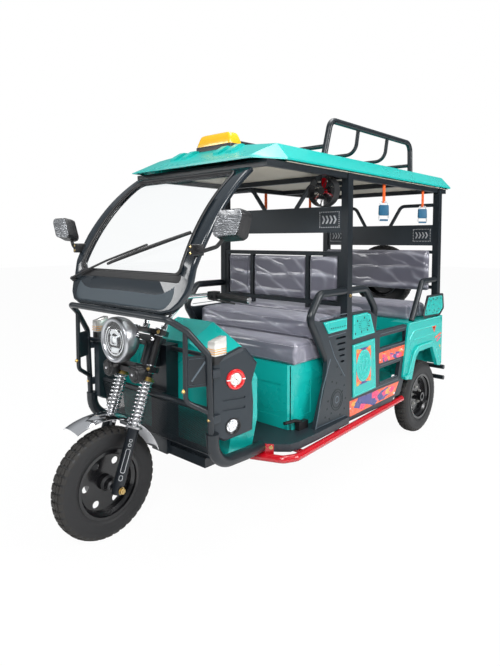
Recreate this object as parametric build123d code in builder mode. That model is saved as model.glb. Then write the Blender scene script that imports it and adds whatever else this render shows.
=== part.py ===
from build123d import *
import math
import os

# Electric rickshaw, three wheels, driver in front and passengers behind.
# Millimetres. +Z is up, the front faces -Y, the vehicle's left side is +X.
# The origin lies on the ground under the middle of the whole vehicle.

# Running gear
WHEELBASE = 2272
TRACK = 888
TYRE_OD = 508
TYRE_WIDTH = 97
RIM_OD = 318
BUMPER_REACH = 518          # rear axle to the tip of the rear bumper
RAKE = 20                   # fork legs lean back by this many degrees
FORK_OFFSET = 45            # the legs stand this far ahead of the steering axis
LEG_SPREAD = 100            # from the middle to each fork leg

# Body
BODY_HALF = 505             # outer face of the pillars and side panels
ROOF_HALF = BODY_HALF + 14
FLOOR_Z = 350               # underside of the floor, top of the ladder rails
FLOOR_THICK = 16
ROOF_Z = 1750               # underside of the roof skin at its lip
ROOF_RISE = 100             # from the lip to the middle of the roof
WALL = 6                    # moulded plastic
SHEET = 25                  # boxed sheet-steel side panels
TUBE = 42                   # grab hoops
PILLAR_WIDE = 45
PILLAR_DEEP = 50
RAIL_X = 300
RAIL_WIDE = 40
RAIL_TALL = 45
DECK_Z = 812                # top of the rear body, under the rear seat
ROOF_RAIL = 30
RAIL_TOP = ROOF_Z - 8
RAIL_LOW = RAIL_TOP - ROOF_RAIL

RUN_GAP = 0.08              # between a shaft and its bore
SEAT_GAP = 0.3              # between a soft piece and what carries it

FRONT_AXLE_Y = (TYRE_OD / 2 - WHEELBASE - BUMPER_REACH) / 2
AXLE_Z = TYRE_OD / 2
B_PILLAR = 1252             # front face of the middle pillars, behind the front axle
REAR_PILLAR = WHEELBASE + 208
REAR_DECK = WHEELBASE + 280
FRONT_AXLE_R = 10
HUB_R = 30
HUB_HALF = 58
SPARE_D = REAR_PILLAR + 124  # the spare wheel stands upright behind the rear backrest
SPARE_Z = 1074

os.makedirs("parts", exist_ok=True)


def back(distance):
    """The part's Y of a place this far behind the front axle."""
    return FRONT_AXLE_Y + distance


def save(piece, name):
    piece.part.label = name
    export_step(piece.part, f"parts/{name}.step")


def mirrored(half):
    """The points on the left, and the same ones back on the right with x turned over."""
    return half + [(-x, other) for x, other in reversed(half)]


def tube(points, diameter, bend):
    """Adds to the open part a round tube along straight runs joined by bends."""
    with BuildLine() as path:
        if len(points) > 2:
            FilletPolyline(*points, radius=bend)
        else:
            Line(*points)
    with BuildSketch(Plane(origin=path.line @ 0, z_dir=path.line % 0)) as section:
        Circle(diameter / 2)
    sweep(section.sketch, path=path.line)


def block(x, y, z):
    """Adds a box between two values of x, of the distance behind the front axle, and of z."""
    middle = ((x[0] + x[1]) / 2, back((y[0] + y[1]) / 2), (z[0] + z[1]) / 2)
    with Locations(middle):
        Box(x[1] - x[0], y[1] - y[0], z[1] - z[0])


def cut_block(x, y, z):
    middle = ((x[0] + x[1]) / 2, back((y[0] + y[1]) / 2), (z[0] + z[1]) / 2)
    with Locations(middle):
        Box(x[1] - x[0], y[1] - y[0], z[1] - z[0], mode=Mode.SUBTRACT)


def side_plate(outline, inner, outer, mode=Mode.ADD):
    """Adds a plate seen from the left: outline of (distance, z), between two values of x."""
    with BuildSketch(Plane.YZ.offset(inner)) as profile:
        with BuildLine():
            Polyline(*[(back(d), z) for d, z in outline], close=True)
        make_face()
    extrude(profile.sketch, amount=outer - inner, mode=mode)


# Ladder frame with the steering neck. The rails rise over the rear axle.
RAIL_FRONT = 330
RAIL_KICK = WHEELBASE - 262  # the rails start to rise here
RAIL_END = WHEELBASE + 468
KICK_RISE = 95
NECK_HALF = 60
NECK_FRONT = 315
NECK_BACK = 390
NECK_TOP = 850
HEAD_R = 27
STEM_R = 16
HEAD_LOW = 560
HEAD_HIGH = 700
SPRING_X = RAIL_X + RAIL_WIDE / 2 + 26
SPRING_FRONT = WHEELBASE - 317
SPRING_BACK = 2 * WHEELBASE - SPRING_FRONT
SPRING_EYE_Z = FLOOR_Z - 22
PIN_R = 8
PIN_HALF = 26

rake = math.radians(RAKE)
fork_plane = Plane(
    origin=(0, back(0), AXLE_Z), x_dir=(1, 0, 0), z_dir=(0, math.sin(rake), math.cos(rake))
)

with BuildPart() as chassis_frame:
    for side in (-1, 1):
        inner = side * RAIL_X - RAIL_WIDE / 2
        side_plate(
            [
                (RAIL_FRONT, FLOOR_Z - RAIL_TALL),
                (RAIL_KICK, FLOOR_Z - RAIL_TALL),
                (RAIL_KICK + 65, FLOOR_Z - RAIL_TALL + KICK_RISE),
                (RAIL_END, FLOOR_Z - RAIL_TALL + KICK_RISE),
                (RAIL_END, FLOOR_Z + KICK_RISE),
                (RAIL_KICK + 35, FLOOR_Z + KICK_RISE),
                (RAIL_KICK - 30, FLOOR_Z),
                (RAIL_FRONT, FLOOR_Z),
            ],
            inner,
            inner + RAIL_WIDE,
        )
    rail_in = RAIL_X - RAIL_WIDE / 2
    for d in (RAIL_FRONT, 900, B_PILLAR, 1650):
        block((-rail_in, rail_in), (d, d + RAIL_WIDE), (FLOOR_Z - RAIL_TALL, FLOOR_Z))
    rear_low = FLOOR_Z - RAIL_TALL + KICK_RISE
    for d in (WHEELBASE - 150, WHEELBASE + 150, RAIL_END - RAIL_WIDE):
        block((-rail_in, rail_in), (d, d + RAIL_WIDE), (rear_low, rear_low + RAIL_TALL))
    # outriggers carry the side panels and the middle pillars
    for side in (-1, 1):
        for d in (1000, B_PILLAR, 1700):
            x = sorted((side * RAIL_X, side * (BODY_HALF - SHEET)))
            block(x, (d, d + PILLAR_DEEP), (FLOOR_Z - RAIL_TALL, FLOOR_Z))
        x = sorted((side * (RAIL_X - 2), side * (RAIL_X + RAIL_WIDE / 2)))
        block(x, (SPRING_BACK - 20, SPRING_BACK + 20), (SPRING_EYE_Z - 18, rear_low + 5))
    # spring pins
    for side in (-1, 1):
        with BuildSketch(Plane.YZ.offset(side * SPRING_X - PIN_HALF)):
            with Locations((back(SPRING_FRONT), SPRING_EYE_Z), (back(SPRING_BACK), SPRING_EYE_Z)):
                Circle(PIN_R)
        extrude(amount=2 * PIN_HALF)
    # neck and head tube
    block((-NECK_HALF, NECK_HALF), (NECK_FRONT, NECK_BACK), (FLOOR_Z - RAIL_TALL, NECK_TOP))
    with BuildSketch(fork_plane.offset(HEAD_LOW)):
        with Locations((0, FORK_OFFSET)):
            Circle(HEAD_R)
        with Locations((0, FORK_OFFSET + 40)):
            Rectangle(24, 80)
    extrude(amount=HEAD_HIGH - HEAD_LOW)
    with BuildSketch(fork_plane.offset(HEAD_LOW - 60)):
        with Locations((0, FORK_OFFSET)):
            Circle(STEM_R + RUN_GAP)
    extrude(amount=HEAD_HIGH - HEAD_LOW + 120, mode=Mode.SUBTRACT)
save(chassis_frame, "chassis_frame")

# Floor: one moulded slab. Beside the doorway it widens to a step, which narrows backwards
# as a ledge under the side panel, and a rim hangs down along its edge.
FLOOR_FRONT = 345
FLOOR_NOSE = BODY_HALF - 114
FLOOR_STEP = BODY_HALF + 36
FLOOR_BACK = RAIL_KICK - 32
RIM_START = (FLOOR_NOSE, 601)
RIM_CORNER = (FLOOR_STEP - 57, 663)
RIM_DROP = 22               # the rim's depth under the slab
PANEL_FRONT = 950
with BuildPart() as floor_pan:
    half = [
        (FLOOR_NOSE, FLOOR_FRONT),
        RIM_START,
        RIM_CORNER,
        (FLOOR_STEP - 10, 705),
        (FLOOR_STEP, 764),
        (FLOOR_STEP - 1, 924),
        (BODY_HALF + 20, B_PILLAR),
        (BODY_HALF - PILLAR_WIDE, B_PILLAR),
        (BODY_HALF - PILLAR_WIDE, B_PILLAR + PILLAR_DEEP),
        (BODY_HALF - SHEET, B_PILLAR + PILLAR_DEEP),
        (BODY_HALF - SHEET, FLOOR_BACK),
    ]
    with BuildSketch(Plane.XY.offset(FLOOR_Z)) as slab:
        with BuildLine():
            Polyline(*[(x, back(d)) for x, d in mirrored(half)], close=True)
        make_face()
    extrude(amount=FLOOR_THICK)
    with BuildSketch(Plane.XY.offset(FLOOR_Z - RIM_DROP)):
        add(slab.sketch_local)
        offset(amount=-WALL, kind=Kind.INTERSECTION, mode=Mode.SUBTRACT)
        with Locations((0, back(WHEELBASE / 2))):
            Rectangle(2 * FLOOR_NOSE + 2, 2 * WHEELBASE, mode=Mode.SUBTRACT)
        with Locations((0, back(B_PILLAR + WHEELBASE / 2))):
            Rectangle(4 * BODY_HALF, WHEELBASE, mode=Mode.SUBTRACT)
    extrude(amount=RIM_DROP)
    cut_block((-NECK_HALF, NECK_HALF), (NECK_FRONT, NECK_BACK), (FLOOR_Z, FLOOR_Z + FLOOR_THICK))
save(floor_pan, "floor_pan")
FLOOR_TOP = FLOOR_Z + FLOOR_THICK

# Front guard: a bent outer hoop, an inner hook-shaped tube on each side, a cross bar
# and the heavy corner tubes that run back under the floor.
GUARD_D = 28
GUARD_X = BODY_HALF - 27
GUARD_TOP = 1040
GUARD_FRONT = 60
POST_D = 222
APRON_TOP = 610
APRON_TOP_D = 275
APRON_LOW = 398
APRON_LOW_D = 318
APRON_TUBE = 30
HOOK_D = 22
CORNER_D = 56               # heavy tubes at the guard's lower corners
CORNER_BEND = 120
CORNER_Z = 378
CROSS_Z = 832
CROSS_D = 22
PLATE_Z = 814               # pressed plates between the hook tubes and the posts
PLATE_TALL = 134
with BuildPart() as front_guard:
    half = [
        (GUARD_X - 93, GUARD_FRONT, GUARD_TOP),
        (GUARD_X - 46, 125, 990),
        (GUARD_X, POST_D - 15, 880),
        (GUARD_X, POST_D, 455),
    ]
    left = [(x, back(d), z) for x, d, z in half]
    right = [(-x, y, z) for x, y, z in reversed(left)]
    tube(right + left, GUARD_D, 38)
    for side in (-1, 1):
        tube(
            [
                (side * (GUARD_X - 51), back(122), 988),
                (side * (GUARD_X - 51), back(122), 690),
                (side * GUARD_X, back(POST_D), 625),
            ],
            HOOK_D,
            40,
        )
        tube(
            [
                (side * GUARD_X, back(POST_D + 6), 536),
                (side * (GUARD_X - 3), back(POST_D + 10), 392),
                (side * (GUARD_X - 14), back(455), CORNER_Z),
                (side * (FLOOR_NOSE + 31), back(RIM_START[1] + 4), CORNER_Z - 22),
            ],
            CORNER_D,
            CORNER_BEND,
        )
        tube(
            [
                (side * (NECK_HALF - 5), back(355), CROSS_Z),
                (side * 300, back(345), CROSS_Z),
                (side * (GUARD_X - 83), back(POST_D + 4), CROSS_Z),
                (side * (GUARD_X - 4), back(POST_D - 4), CROSS_Z),
            ],
            CROSS_D,
            60,
        )
    for reach, d, z in ((GUARD_X - 60, APRON_TOP_D, APRON_TOP), (GUARD_X - 14, APRON_LOW_D, APRON_LOW)):
        tube([(-reach, back(d), z), (reach, back(d), z)], APRON_TUBE, 20)
    block((-NECK_HALF + 5, NECK_HALF - 5), (APRON_TOP_D + 4, NECK_FRONT), (APRON_TOP - 10, APRON_TOP + 10))
    # pressed plates between the hook tubes and the posts
    hook = Vector(GUARD_X - 51, back(122), 0)
    post = Vector(GUARD_X, back(POST_D), 0)
    span = (post - hook).length
    for side in (-1, 1):
        run = (post - hook) / span
        plate = Plane(
            origin=(side * hook.X, hook.Y, PLATE_Z),
            x_dir=(side * run.X, run.Y, 0),
            z_dir=(side * run.Y, -run.X, 0),
        )
        with BuildSketch(plate):
            with Locations((span / 2, 0)):
                Rectangle(span - 12, PLATE_TALL)
        extrude(amount=2, both=True)
    cut_block((-NECK_HALF, NECK_HALF), (NECK_FRONT, NECK_BACK), (FLOOR_Z, NECK_TOP))
    add(floor_pan.part, mode=Mode.SUBTRACT)
save(front_guard, "front_guard")

# Mesh apron between the guard's lower tubes
APRON_THICK = 3
with BuildPart() as front_apron:
    top = Vector(0, back(APRON_TOP_D), APRON_TOP)
    low = Vector(0, back(APRON_LOW_D), APRON_LOW)
    down = (low - top).normalized()
    front = Vector(0, down.Z, -down.Y)
    face = top + front * (APRON_TUBE / 2 + SEAT_GAP)
    apron_plane = Plane(origin=face, x_dir=(1, 0, 0), z_dir=front)
    length = (low - top).length
    with BuildSketch(apron_plane):
        with Locations((0, -length / 2)):
            RectangleRounded(2 * (GUARD_X - 58), length - 6, 12)
    extrude(amount=APRON_THICK)
save(front_apron, "front_apron")

# Leg shield and dash: a faceted moulded shell, open to the driver
COWL_FRONT = 395
COWL_BACK = 560
COWL_HALF = BODY_HALF - 65


def cowl_outline(half, top, shoulder, foot):
    return mirrored(
        [
            (foot, FLOOR_TOP),
            (half, FLOOR_TOP + 150),
            (half, shoulder),
            (half - 90, shoulder + 130),
            (140, top),
        ]
    )


with BuildPart() as cowl:
    for inset, mode in ((0, Mode.ADD), (WALL, Mode.SUBTRACT)):
        sections = (
            (COWL_FRONT + inset, COWL_HALF - 8 - inset, 862 - inset, 650),
            (COWL_BACK + inset, COWL_HALF - inset, 948 - inset, 712),
        )
        for d, half, top, shoulder in sections:
            with BuildSketch(Plane(origin=(0, back(d), 0), x_dir=(1, 0, 0), z_dir=(0, -1, 0))):
                with BuildLine():
                    Polyline(*cowl_outline(half, top, shoulder, 405 - inset), close=True)
                make_face()
        loft(mode=mode)
save(cowl, "cowl")

# Corner pods: thick moulded plates turned outwards, bolted to the guard's posts
POD_TURN = 19.1             # degrees from straight back
POD_THICK = 40
POD_EDGE = 10               # sloped border of the outer face
POD_GROOVE = 4
POD_START = -3
RING_AT = (112, 757)
FOG_AT = (100, 548)
LAMP_R = 46
FOG_R = 38


def pod_plane(side):
    turn = math.radians(POD_TURN)
    return Plane(
        origin=(side * (GUARD_X - 8), back(POST_D + 14), 0),
        x_dir=(side * math.sin(turn), math.cos(turn), 0),
        z_dir=(side * math.cos(turn), -math.sin(turn), 0),
    )


with BuildPart() as corner_pods:
    outline = [
        (POD_START, 835), (150, 892), (168, 887), (225, 817), (198, 735),
        (206, 640), (201, 513), (59, 485), (POD_START, 517),
    ]
    for side in (-1, 1):
        plane = pod_plane(side)
        with BuildSketch(plane.offset(-POD_EDGE)) as shape:
            with BuildLine():
                Polyline(*[(u, side * z) for u, z in outline], close=True)
            make_face()
        extrude(amount=POD_EDGE - POD_THICK)
        extrude(shape.sketch, amount=POD_EDGE, taper=45)
        # two pressed grooves
        with BuildSketch(plane):
            for z in (672, 628):
                with Locations((104, side * z)):
                    Rectangle(110, 10)
        extrude(amount=-POD_GROOVE, mode=Mode.SUBTRACT)
        with BuildSketch(plane):
            with Locations((RING_AT[0], side * RING_AT[1])):
                Circle(LAMP_R)
            with Locations((FOG_AT[0], side * FOG_AT[1])):
                Circle(FOG_R)
        extrude(amount=-25, mode=Mode.SUBTRACT)
        x = sorted((side * (GUARD_X - 14), side * (GUARD_X + 12)))
        for z in (580, 780):
            block(x, (POST_D, POST_D + 45), (z, z + 34))
    add(front_guard.part, mode=Mode.SUBTRACT)
save(corner_pods, "corner_pods")

# Round pod lamps, turn signals over the pods and tail lamps
TURN_BASE = 842
with BuildPart() as lamps:
    for side in (-1, 1):
        x = sorted((side * (GUARD_X - 42), side * (GUARD_X + 4)))
        block(x, (POST_D + 17, POST_D + 92), (TURN_BASE - 10, 925))
        x = sorted((side * (GUARD_X - 38), side * GUARD_X))
        block(x, (POST_D + 20, POST_D + 88), (925, 952))
    add(corner_pods.part, mode=Mode.SUBTRACT)
    for side in (-1, 1):
        plane = pod_plane(side)
        for (u, z), radius, proud in ((RING_AT, LAMP_R, 9), (FOG_AT, FOG_R, 3)):
            with BuildSketch(plane.offset(-25)):
                with Locations((u, side * z)):
                    Circle(radius - 0.2)
            extrude(amount=25 + proud)
        x = sorted((side * (BODY_HALF - 130), side * (BODY_HALF - 30)))
        block(x, (REAR_DECK, REAR_DECK + 22), (630, 740))
save(lamps, "lamps")

# Windscreen frame: a bent panel with a window, on top of the guard
SCREEN_THICK = 30
SCREEN_LOW = 1053
SCREEN_TOP = RAIL_LOW - SEAT_GAP
SCREEN_HALF = BODY_HALF - 38
SCREEN_BEND = 115           # rounding of the frame's lower corners
WINDOW_BEND = 36
WINDOW_LOW = 1218
GLASS_THICK = 5


def screen_band(front_inset, thick):
    """Side view of the bent screen: the front face set back, and the thickness behind it."""
    front = [(66, SCREEN_LOW), (121, 1178), (137, 1258), (280, 1492), (566, 1740)]
    near, far = [
        [(back(d + depth * 0.9), z - depth * 0.45 * (i > 0)) for i, (d, z) in enumerate(front)]
        for depth in (front_inset, front_inset + thick)
    ]
    with BuildLine() as edge:
        Line(near[0], near[1])
        Line(near[1], near[2])
        ThreePointArc(near[2], near[3], near[4])
        Line(near[4], far[4])
        ThreePointArc(far[4], far[3], far[2])
        Line(far[2], far[1])
        Line(far[1], far[0])
        Line(far[0], near[0])
    make_face(edge.edges())


def window_outline():
    with BuildLine() as edge:
        half = [(SCREEN_HALF - 76, WINDOW_LOW), (SCREEN_HALF - 78, 1300), (SCREEN_HALF - 95, 1690)]
        FilletPolyline(*mirrored(half), radius=WINDOW_BEND, close=True)
    make_face(edge.edges())


front_view = Plane(origin=(0, back(0), 0), x_dir=(1, 0, 0), z_dir=(0, -1, 0))
with BuildPart() as windscreen_frame:
    with BuildSketch(Plane.YZ):
        screen_band(0, SCREEN_THICK)
    extrude(amount=SCREEN_HALF, both=True)
    with BuildSketch(front_view) as outline:
        with BuildLine():
            half = [
                (SCREEN_HALF - 30, SCREEN_LOW), (SCREEN_HALF - 12, 1185), (SCREEN_HALF, 1400),
                (SCREEN_HALF - 24, SCREEN_TOP),
            ]
            Polyline(*mirrored(half), close=True)
        make_face()
        fillet(outline.vertices().sort_by(Axis.Z)[:2], SCREEN_BEND)
    extrude(amount=-900, mode=Mode.INTERSECT)
    with BuildSketch(front_view):
        window_outline()
    extrude(amount=-900, mode=Mode.SUBTRACT)
save(windscreen_frame, "windscreen_frame")

with BuildPart() as windscreen_glass:
    with BuildSketch(Plane.YZ):
        screen_band(10, GLASS_THICK)
    extrude(amount=SCREEN_HALF, both=True)
    with BuildSketch(front_view):
        window_outline()
    extrude(amount=-900, mode=Mode.INTERSECT)
save(windscreen_glass, "windscreen_glass")

# Wiper parked across the screen
with BuildPart() as wiper:
    pivot = Plane(origin=(-430, back(115), 1165), x_dir=(1, 0, 0), z_dir=(0, -0.915, 0.403))
    with BuildSketch(pivot):
        Circle(14)
    extrude(amount=26)
    tube([(-430, back(97), 1173), (-150, back(116), 1262), (110, back(150), 1345)], 11, 30)
    tube([(-155, back(118), 1252), (110, back(150), 1339), (330, back(186), 1400)], 14, 60)
save(wiper, "wiper")

# Door mirrors on short arms
MIRROR_X = 622
MIRROR_Z = 1434
MIRROR_WIDE = 224
MIRROR_TALL = 112
with BuildPart() as mirrors:
    for side in (-1, 1):
        x = sorted((side * 440, side * 470))
        block(x, (150, 200), (1300, 1352))
        arm = [(side * 458, back(170), 1326), (side * 540, back(182), 1330), (side * 600, back(192), 1392)]
        tube(arm, 20, 30)
        for d, wide, tall in ((165, MIRROR_WIDE, MIRROR_TALL), (218, MIRROR_WIDE - 34, MIRROR_TALL - 28)):
            shell = Plane(origin=(side * MIRROR_X, back(d), MIRROR_Z), x_dir=(1, 0, 0), z_dir=(0, -1, 0))
            with BuildSketch(shell):
                RectangleRounded(wide, tall, 22)
        loft()
    add(windscreen_frame.part, mode=Mode.SUBTRACT)
save(mirrors, "mirrors")

# Body frame: pillars, roof rails, grab hoops and rear cross bars, welded as one
ROOF_FRONT = 499
ROOF_BACK = 2647
ROOF_NOSE = 690             # the sloping nose ends here
HOOP_X = BODY_HALF - TUBE / 2
PILLAR_IN = BODY_HALF - PILLAR_WIDE
HOOP_TOP = 1080
with BuildPart() as body_frame:
    for side in (-1, 1):
        pillar = sorted((side * PILLAR_IN, side * BODY_HALF))
        block(pillar, (B_PILLAR, B_PILLAR + PILLAR_DEEP), (FLOOR_Z, RAIL_TOP))
        block(pillar, (REAR_PILLAR, REAR_PILLAR + PILLAR_DEEP), (DECK_Z, RAIL_TOP))
        x = sorted((side * (PILLAR_IN + 7), side * (PILLAR_IN + 7 + ROOF_RAIL)))
        block(x, (562, ROOF_BACK - 30), (RAIL_LOW, RAIL_TOP))
        tube(
            [
                (side * HOOP_X, back(1075), 715),
                (side * HOOP_X, back(918), 955),
                (side * HOOP_X, back(1010), HOOP_TOP),
                (side * HOOP_X, back(1482), HOOP_TOP),
                (side * HOOP_X, back(1596), 955),
                (side * HOOP_X, back(1574), 800),
            ],
            TUBE,
            55,
        )
        tube(
            [
                (side * HOOP_X, back(WHEELBASE - 164), DECK_Z + 2),
                (side * HOOP_X, back(WHEELBASE - 8), HOOP_TOP),
                (side * HOOP_X, back(REAR_PILLAR + 10), HOOP_TOP),
            ],
            TUBE - 4,
            50,
        )
    for d in (562, B_PILLAR + 10, 1880, REAR_PILLAR + 10):
        block((-PILLAR_IN - 10, PILLAR_IN + 10), (d, d + ROOF_RAIL), (RAIL_LOW, RAIL_TOP))
    for z in (1008, 1268):
        block((-PILLAR_IN, PILLAR_IN), (REAR_PILLAR + SEAT_GAP, REAR_PILLAR + 22), (z, z + 24))
    # carrier of the spare wheel: a plate across the bars, a boss and a stud
    block((-70, 70), (REAR_PILLAR + 22, REAR_PILLAR + 28), (1008, 1292))
    carrier = Plane(origin=(0, back(REAR_PILLAR + 28), SPARE_Z), x_dir=(1, 0, 0), z_dir=(0, 1, 0))
    with BuildSketch(carrier):
        Circle(38)
    extrude(amount=SPARE_D - HUB_HALF + 3 - REAR_PILLAR - 28)
    with BuildSketch(carrier):
        Circle(FRONT_AXLE_R - SEAT_GAP)
    extrude(amount=SPARE_D + HUB_HALF + 12 - REAR_PILLAR - 28)
    cut_block((-600, 600), (WHEELBASE - 220, WHEELBASE), (DECK_Z - 60, DECK_Z))
save(body_frame, "body_frame")

# Roof: a moulded skin with a sloping nose and faceted edges, over a flat lining
LINING = 4
LIP = 9
CLAW_X = 124
CLAW_PITCH = 92
CLAW_WIDE = 40
CLAW_FRONT = 590
nose_slope = (ROOF_RISE - 5) / (ROOF_NOSE - ROOF_FRONT)


def roof_outline(inset, low):
    return mirrored(
        [
            (ROOF_HALF - inset, low),
            (ROOF_HALF - inset, ROOF_Z + LIP - inset / 3),
            (ROOF_HALF - 69 - inset / 2, ROOF_Z + 85 - inset),
            (ROOF_HALF - 269, ROOF_Z + ROOF_RISE - inset),
        ]
    )


def nose_outline(inset, low):
    return mirrored(
        [
            (ROOF_HALF - 58 - inset, low),
            (ROOF_HALF - 58 - inset, ROOF_Z - 2 - inset / 3),
            (ROOF_HALF - 89 - inset, ROOF_Z + 3 - inset),
            (ROOF_HALF - 269, ROOF_Z + 5 - inset),
        ]
    )


def cross_section(d):
    return Plane(origin=(0, back(d), 0), x_dir=(1, 0, 0), z_dir=(0, -1, 0))


def roof_face(d, outline):
    with BuildSketch(cross_section(d)) as section:
        with BuildLine():
            Polyline(*outline, close=True)
        make_face()
    return section.sketch


with BuildPart() as roof_shell:
    main = roof_face(ROOF_NOSE, roof_outline(0, ROOF_Z))
    loft([roof_face(ROOF_FRONT, nose_outline(0, ROOF_Z - 6)), main])
    extrude(main, amount=-(ROOF_BACK - ROOF_NOSE))
    hollow = roof_face(ROOF_NOSE, roof_outline(WALL, ROOF_Z - 2))
    loft([roof_face(ROOF_FRONT + 2 * WALL, nose_outline(WALL, ROOF_Z - 20)), hollow], mode=Mode.SUBTRACT)
    extrude(hollow, amount=-(ROOF_BACK - ROOF_NOSE - WALL), mode=Mode.SUBTRACT)
    for side in (-1, 1):
        x = sorted((side * (PILLAR_IN + 8), side * (PILLAR_IN + 22)))
        block(x, (720, ROOF_BACK - 40), (RAIL_TOP + SEAT_GAP + LINING, ROOF_Z + 46))
        # raised ribs on the nose, like claws round the lamp's foot
        for middle in (CLAW_X, CLAW_X + CLAW_PITCH):
            x = sorted((side * (middle - CLAW_WIDE / 2), side * (middle + CLAW_WIDE / 2)))
            foot = ROOF_Z + 5 + (CLAW_FRONT - ROOF_FRONT) * nose_slope
            top = ROOF_Z + ROOF_RISE
            side_plate(
                [
                    (CLAW_FRONT, foot - 2), (CLAW_FRONT + 8, foot + 15), (CLAW_FRONT + 28, foot + 30),
                    (ROOF_NOSE - 28, top + 5), (ROOF_NOSE + 4, top + 6), (ROOF_NOSE + 4, top - 3),
                    (ROOF_NOSE, top - 3),
                ],
                *x,
            )
save(roof_shell, "roof_shell")

with BuildPart() as roof_lining:
    low = RAIL_TOP + SEAT_GAP
    block((-ROOF_HALF + 14, ROOF_HALF - 14), (700, ROOF_BACK - 12), (low, low + LINING))
save(roof_lining, "roof_lining")

# Roof sign lamp
with BuildPart() as roof_lamp:
    with BuildSketch(Plane.XY.offset(ROOF_Z + ROOF_RISE + 6)):
        with Locations((0, back(742))):
            RectangleRounded(272, 100, 18)
    with BuildSketch(Plane.XY.offset(ROOF_Z + ROOF_RISE + 92)):
        with Locations((0, back(748))):
            RectangleRounded(184, 62, 18)
    loft()
    block((-128, 128), (698, 788), (ROOF_Z + ROOF_RISE - 20, ROOF_Z + ROOF_RISE + 6))
    add(roof_shell.part, mode=Mode.SUBTRACT)
    cut_block((-200, 200), (690, 800), (ROOF_Z, ROOF_Z + ROOF_RISE - 1))
save(roof_lamp, "roof_lamp")

# Roof rack: two side hoops, two straight bars and two bars that curve up to the rails
RACK_X = 430
RACK_TOP = 2030
RACK_D = 34
RACK_FRONT = 1112
RACK_BACK = 2160
with BuildPart() as roof_rack:
    for side in (-1, 1):
        tube(
            [
                (side * RACK_X, back(RACK_FRONT), 1800),
                (side * RACK_X, back(RACK_FRONT + 70), RACK_TOP - RACK_D / 2 + 15),
                (side * RACK_X, back(RACK_BACK - 10), RACK_TOP - RACK_D / 2 + 15),
                (side * RACK_X, back(RACK_BACK), 1800),
            ],
            RACK_D,
            60,
        )
    for d, z in ((RACK_FRONT + 22, 1880), (RACK_BACK, 1880)):
        tube([(-RACK_X, back(d), z), (RACK_X, back(d), z)], 24, 20)
    for d in (1475, 1830):
        tube(
            [
                (-RACK_X, back(d), RACK_TOP - 2),
                (-RACK_X + 20, back(d), 1878),
                (RACK_X - 20, back(d), 1878),
                (RACK_X, back(d), RACK_TOP - 2),
            ],
            22,
            70,
        )
    add(roof_shell.part, mode=Mode.SUBTRACT)
    cut_block((-460, 460), (RACK_FRONT - 60, RACK_BACK + 60), (1780, ROOF_Z + 82))
save(roof_rack, "roof_rack")

# Driver's seat box with pressed panels, open below, over the battery block
SEAT_FRONT = 850
SEAT_BACK = 1238
SEAT_BOX_HALF = BODY_HALF - SHEET - 62
SEAT_TOP = 712
PRESS = 5
with BuildPart() as driver_seat_box:
    block((-SEAT_BOX_HALF, SEAT_BOX_HALF), (SEAT_FRONT, SEAT_BACK), (FLOOR_TOP, SEAT_TOP))
    chamfer(driver_seat_box.edges().filter_by(Axis.Z), length=24)
    cut_block(
        (-SEAT_BOX_HALF + WALL + 4, SEAT_BOX_HALF - WALL - 4),
        (SEAT_FRONT + WALL + 4, SEAT_BACK - WALL - 4),
        (FLOOR_TOP, SEAT_TOP - WALL),
    )
    for x in (-250, 0, 250):
        cut_block((x - 95, x + 95), (SEAT_FRONT, SEAT_FRONT + PRESS), (FLOOR_TOP + 60, SEAT_TOP - 110))
    for side in (-1, 1):
        x = sorted((side * (SEAT_BOX_HALF - PRESS), side * SEAT_BOX_HALF))
        for d in (SEAT_FRONT + 60, SEAT_FRONT + 220):
            cut_block(x, (d, d + 120), (FLOOR_TOP + 60, SEAT_TOP - 110))
save(driver_seat_box, "driver_seat_box")

with BuildPart() as battery_pack:
    block((-350, 350), (SEAT_FRONT + 60, SEAT_BACK - 60), (FLOOR_TOP, FLOOR_TOP + 235))
save(battery_pack, "battery_pack")

CUSHION_HALF = BODY_HALF - 49
with BuildPart() as driver_cushions:
    block((-CUSHION_HALF, CUSHION_HALF), (842, 1236), (SEAT_TOP + SEAT_GAP, 828))
    block((-CUSHION_HALF, CUSHION_HALF), (1000, 1236), (828 + SEAT_GAP, 940))
save(driver_cushions, "driver_cushions")

# Back-to-back bench behind the driver, and its backrest between the middle pillars
BACKREST_LOW = 990
BACKREST_TOP = 1302
BAR = 25
POST_X = 222
with BuildPart() as backrest_frame:
    block((-PILLAR_IN, PILLAR_IN), (B_PILLAR + 4, B_PILLAR + 4 + BAR), (BACKREST_LOW, BACKREST_TOP))
    half_bar = BAR / 2
    edges = [
        -PILLAR_IN + BAR, -POST_X - half_bar, -POST_X + half_bar, POST_X - half_bar, POST_X + half_bar,
        PILLAR_IN - BAR,
    ]
    bay_z = (BACKREST_LOW + BAR, BACKREST_TOP - BAR)
    for i in (0, 2, 4):
        cut_block((edges[i], edges[i + 1]), (B_PILLAR, B_PILLAR + 40), bay_z)
    for x in (-POST_X, POST_X):
        block((x - BAR / 2, x + BAR / 2), (B_PILLAR + 4, B_PILLAR + 4 + BAR), (966, BACKREST_LOW))
save(backrest_frame, "backrest_frame")

with BuildPart() as backrest_pads:
    for i in (0, 2, 4):
        block(
            (edges[i] + SEAT_GAP, edges[i + 1] - SEAT_GAP),
            (B_PILLAR - 2, B_PILLAR + 40),
            (BACKREST_LOW + BAR + SEAT_GAP, BACKREST_TOP - BAR - SEAT_GAP),
        )
    block((-CUSHION_HALF - 2, CUSHION_HALF + 2), (REAR_PILLAR - 42, REAR_PILLAR), (995, 1300))
save(backrest_pads, "backrest_pads")

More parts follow.
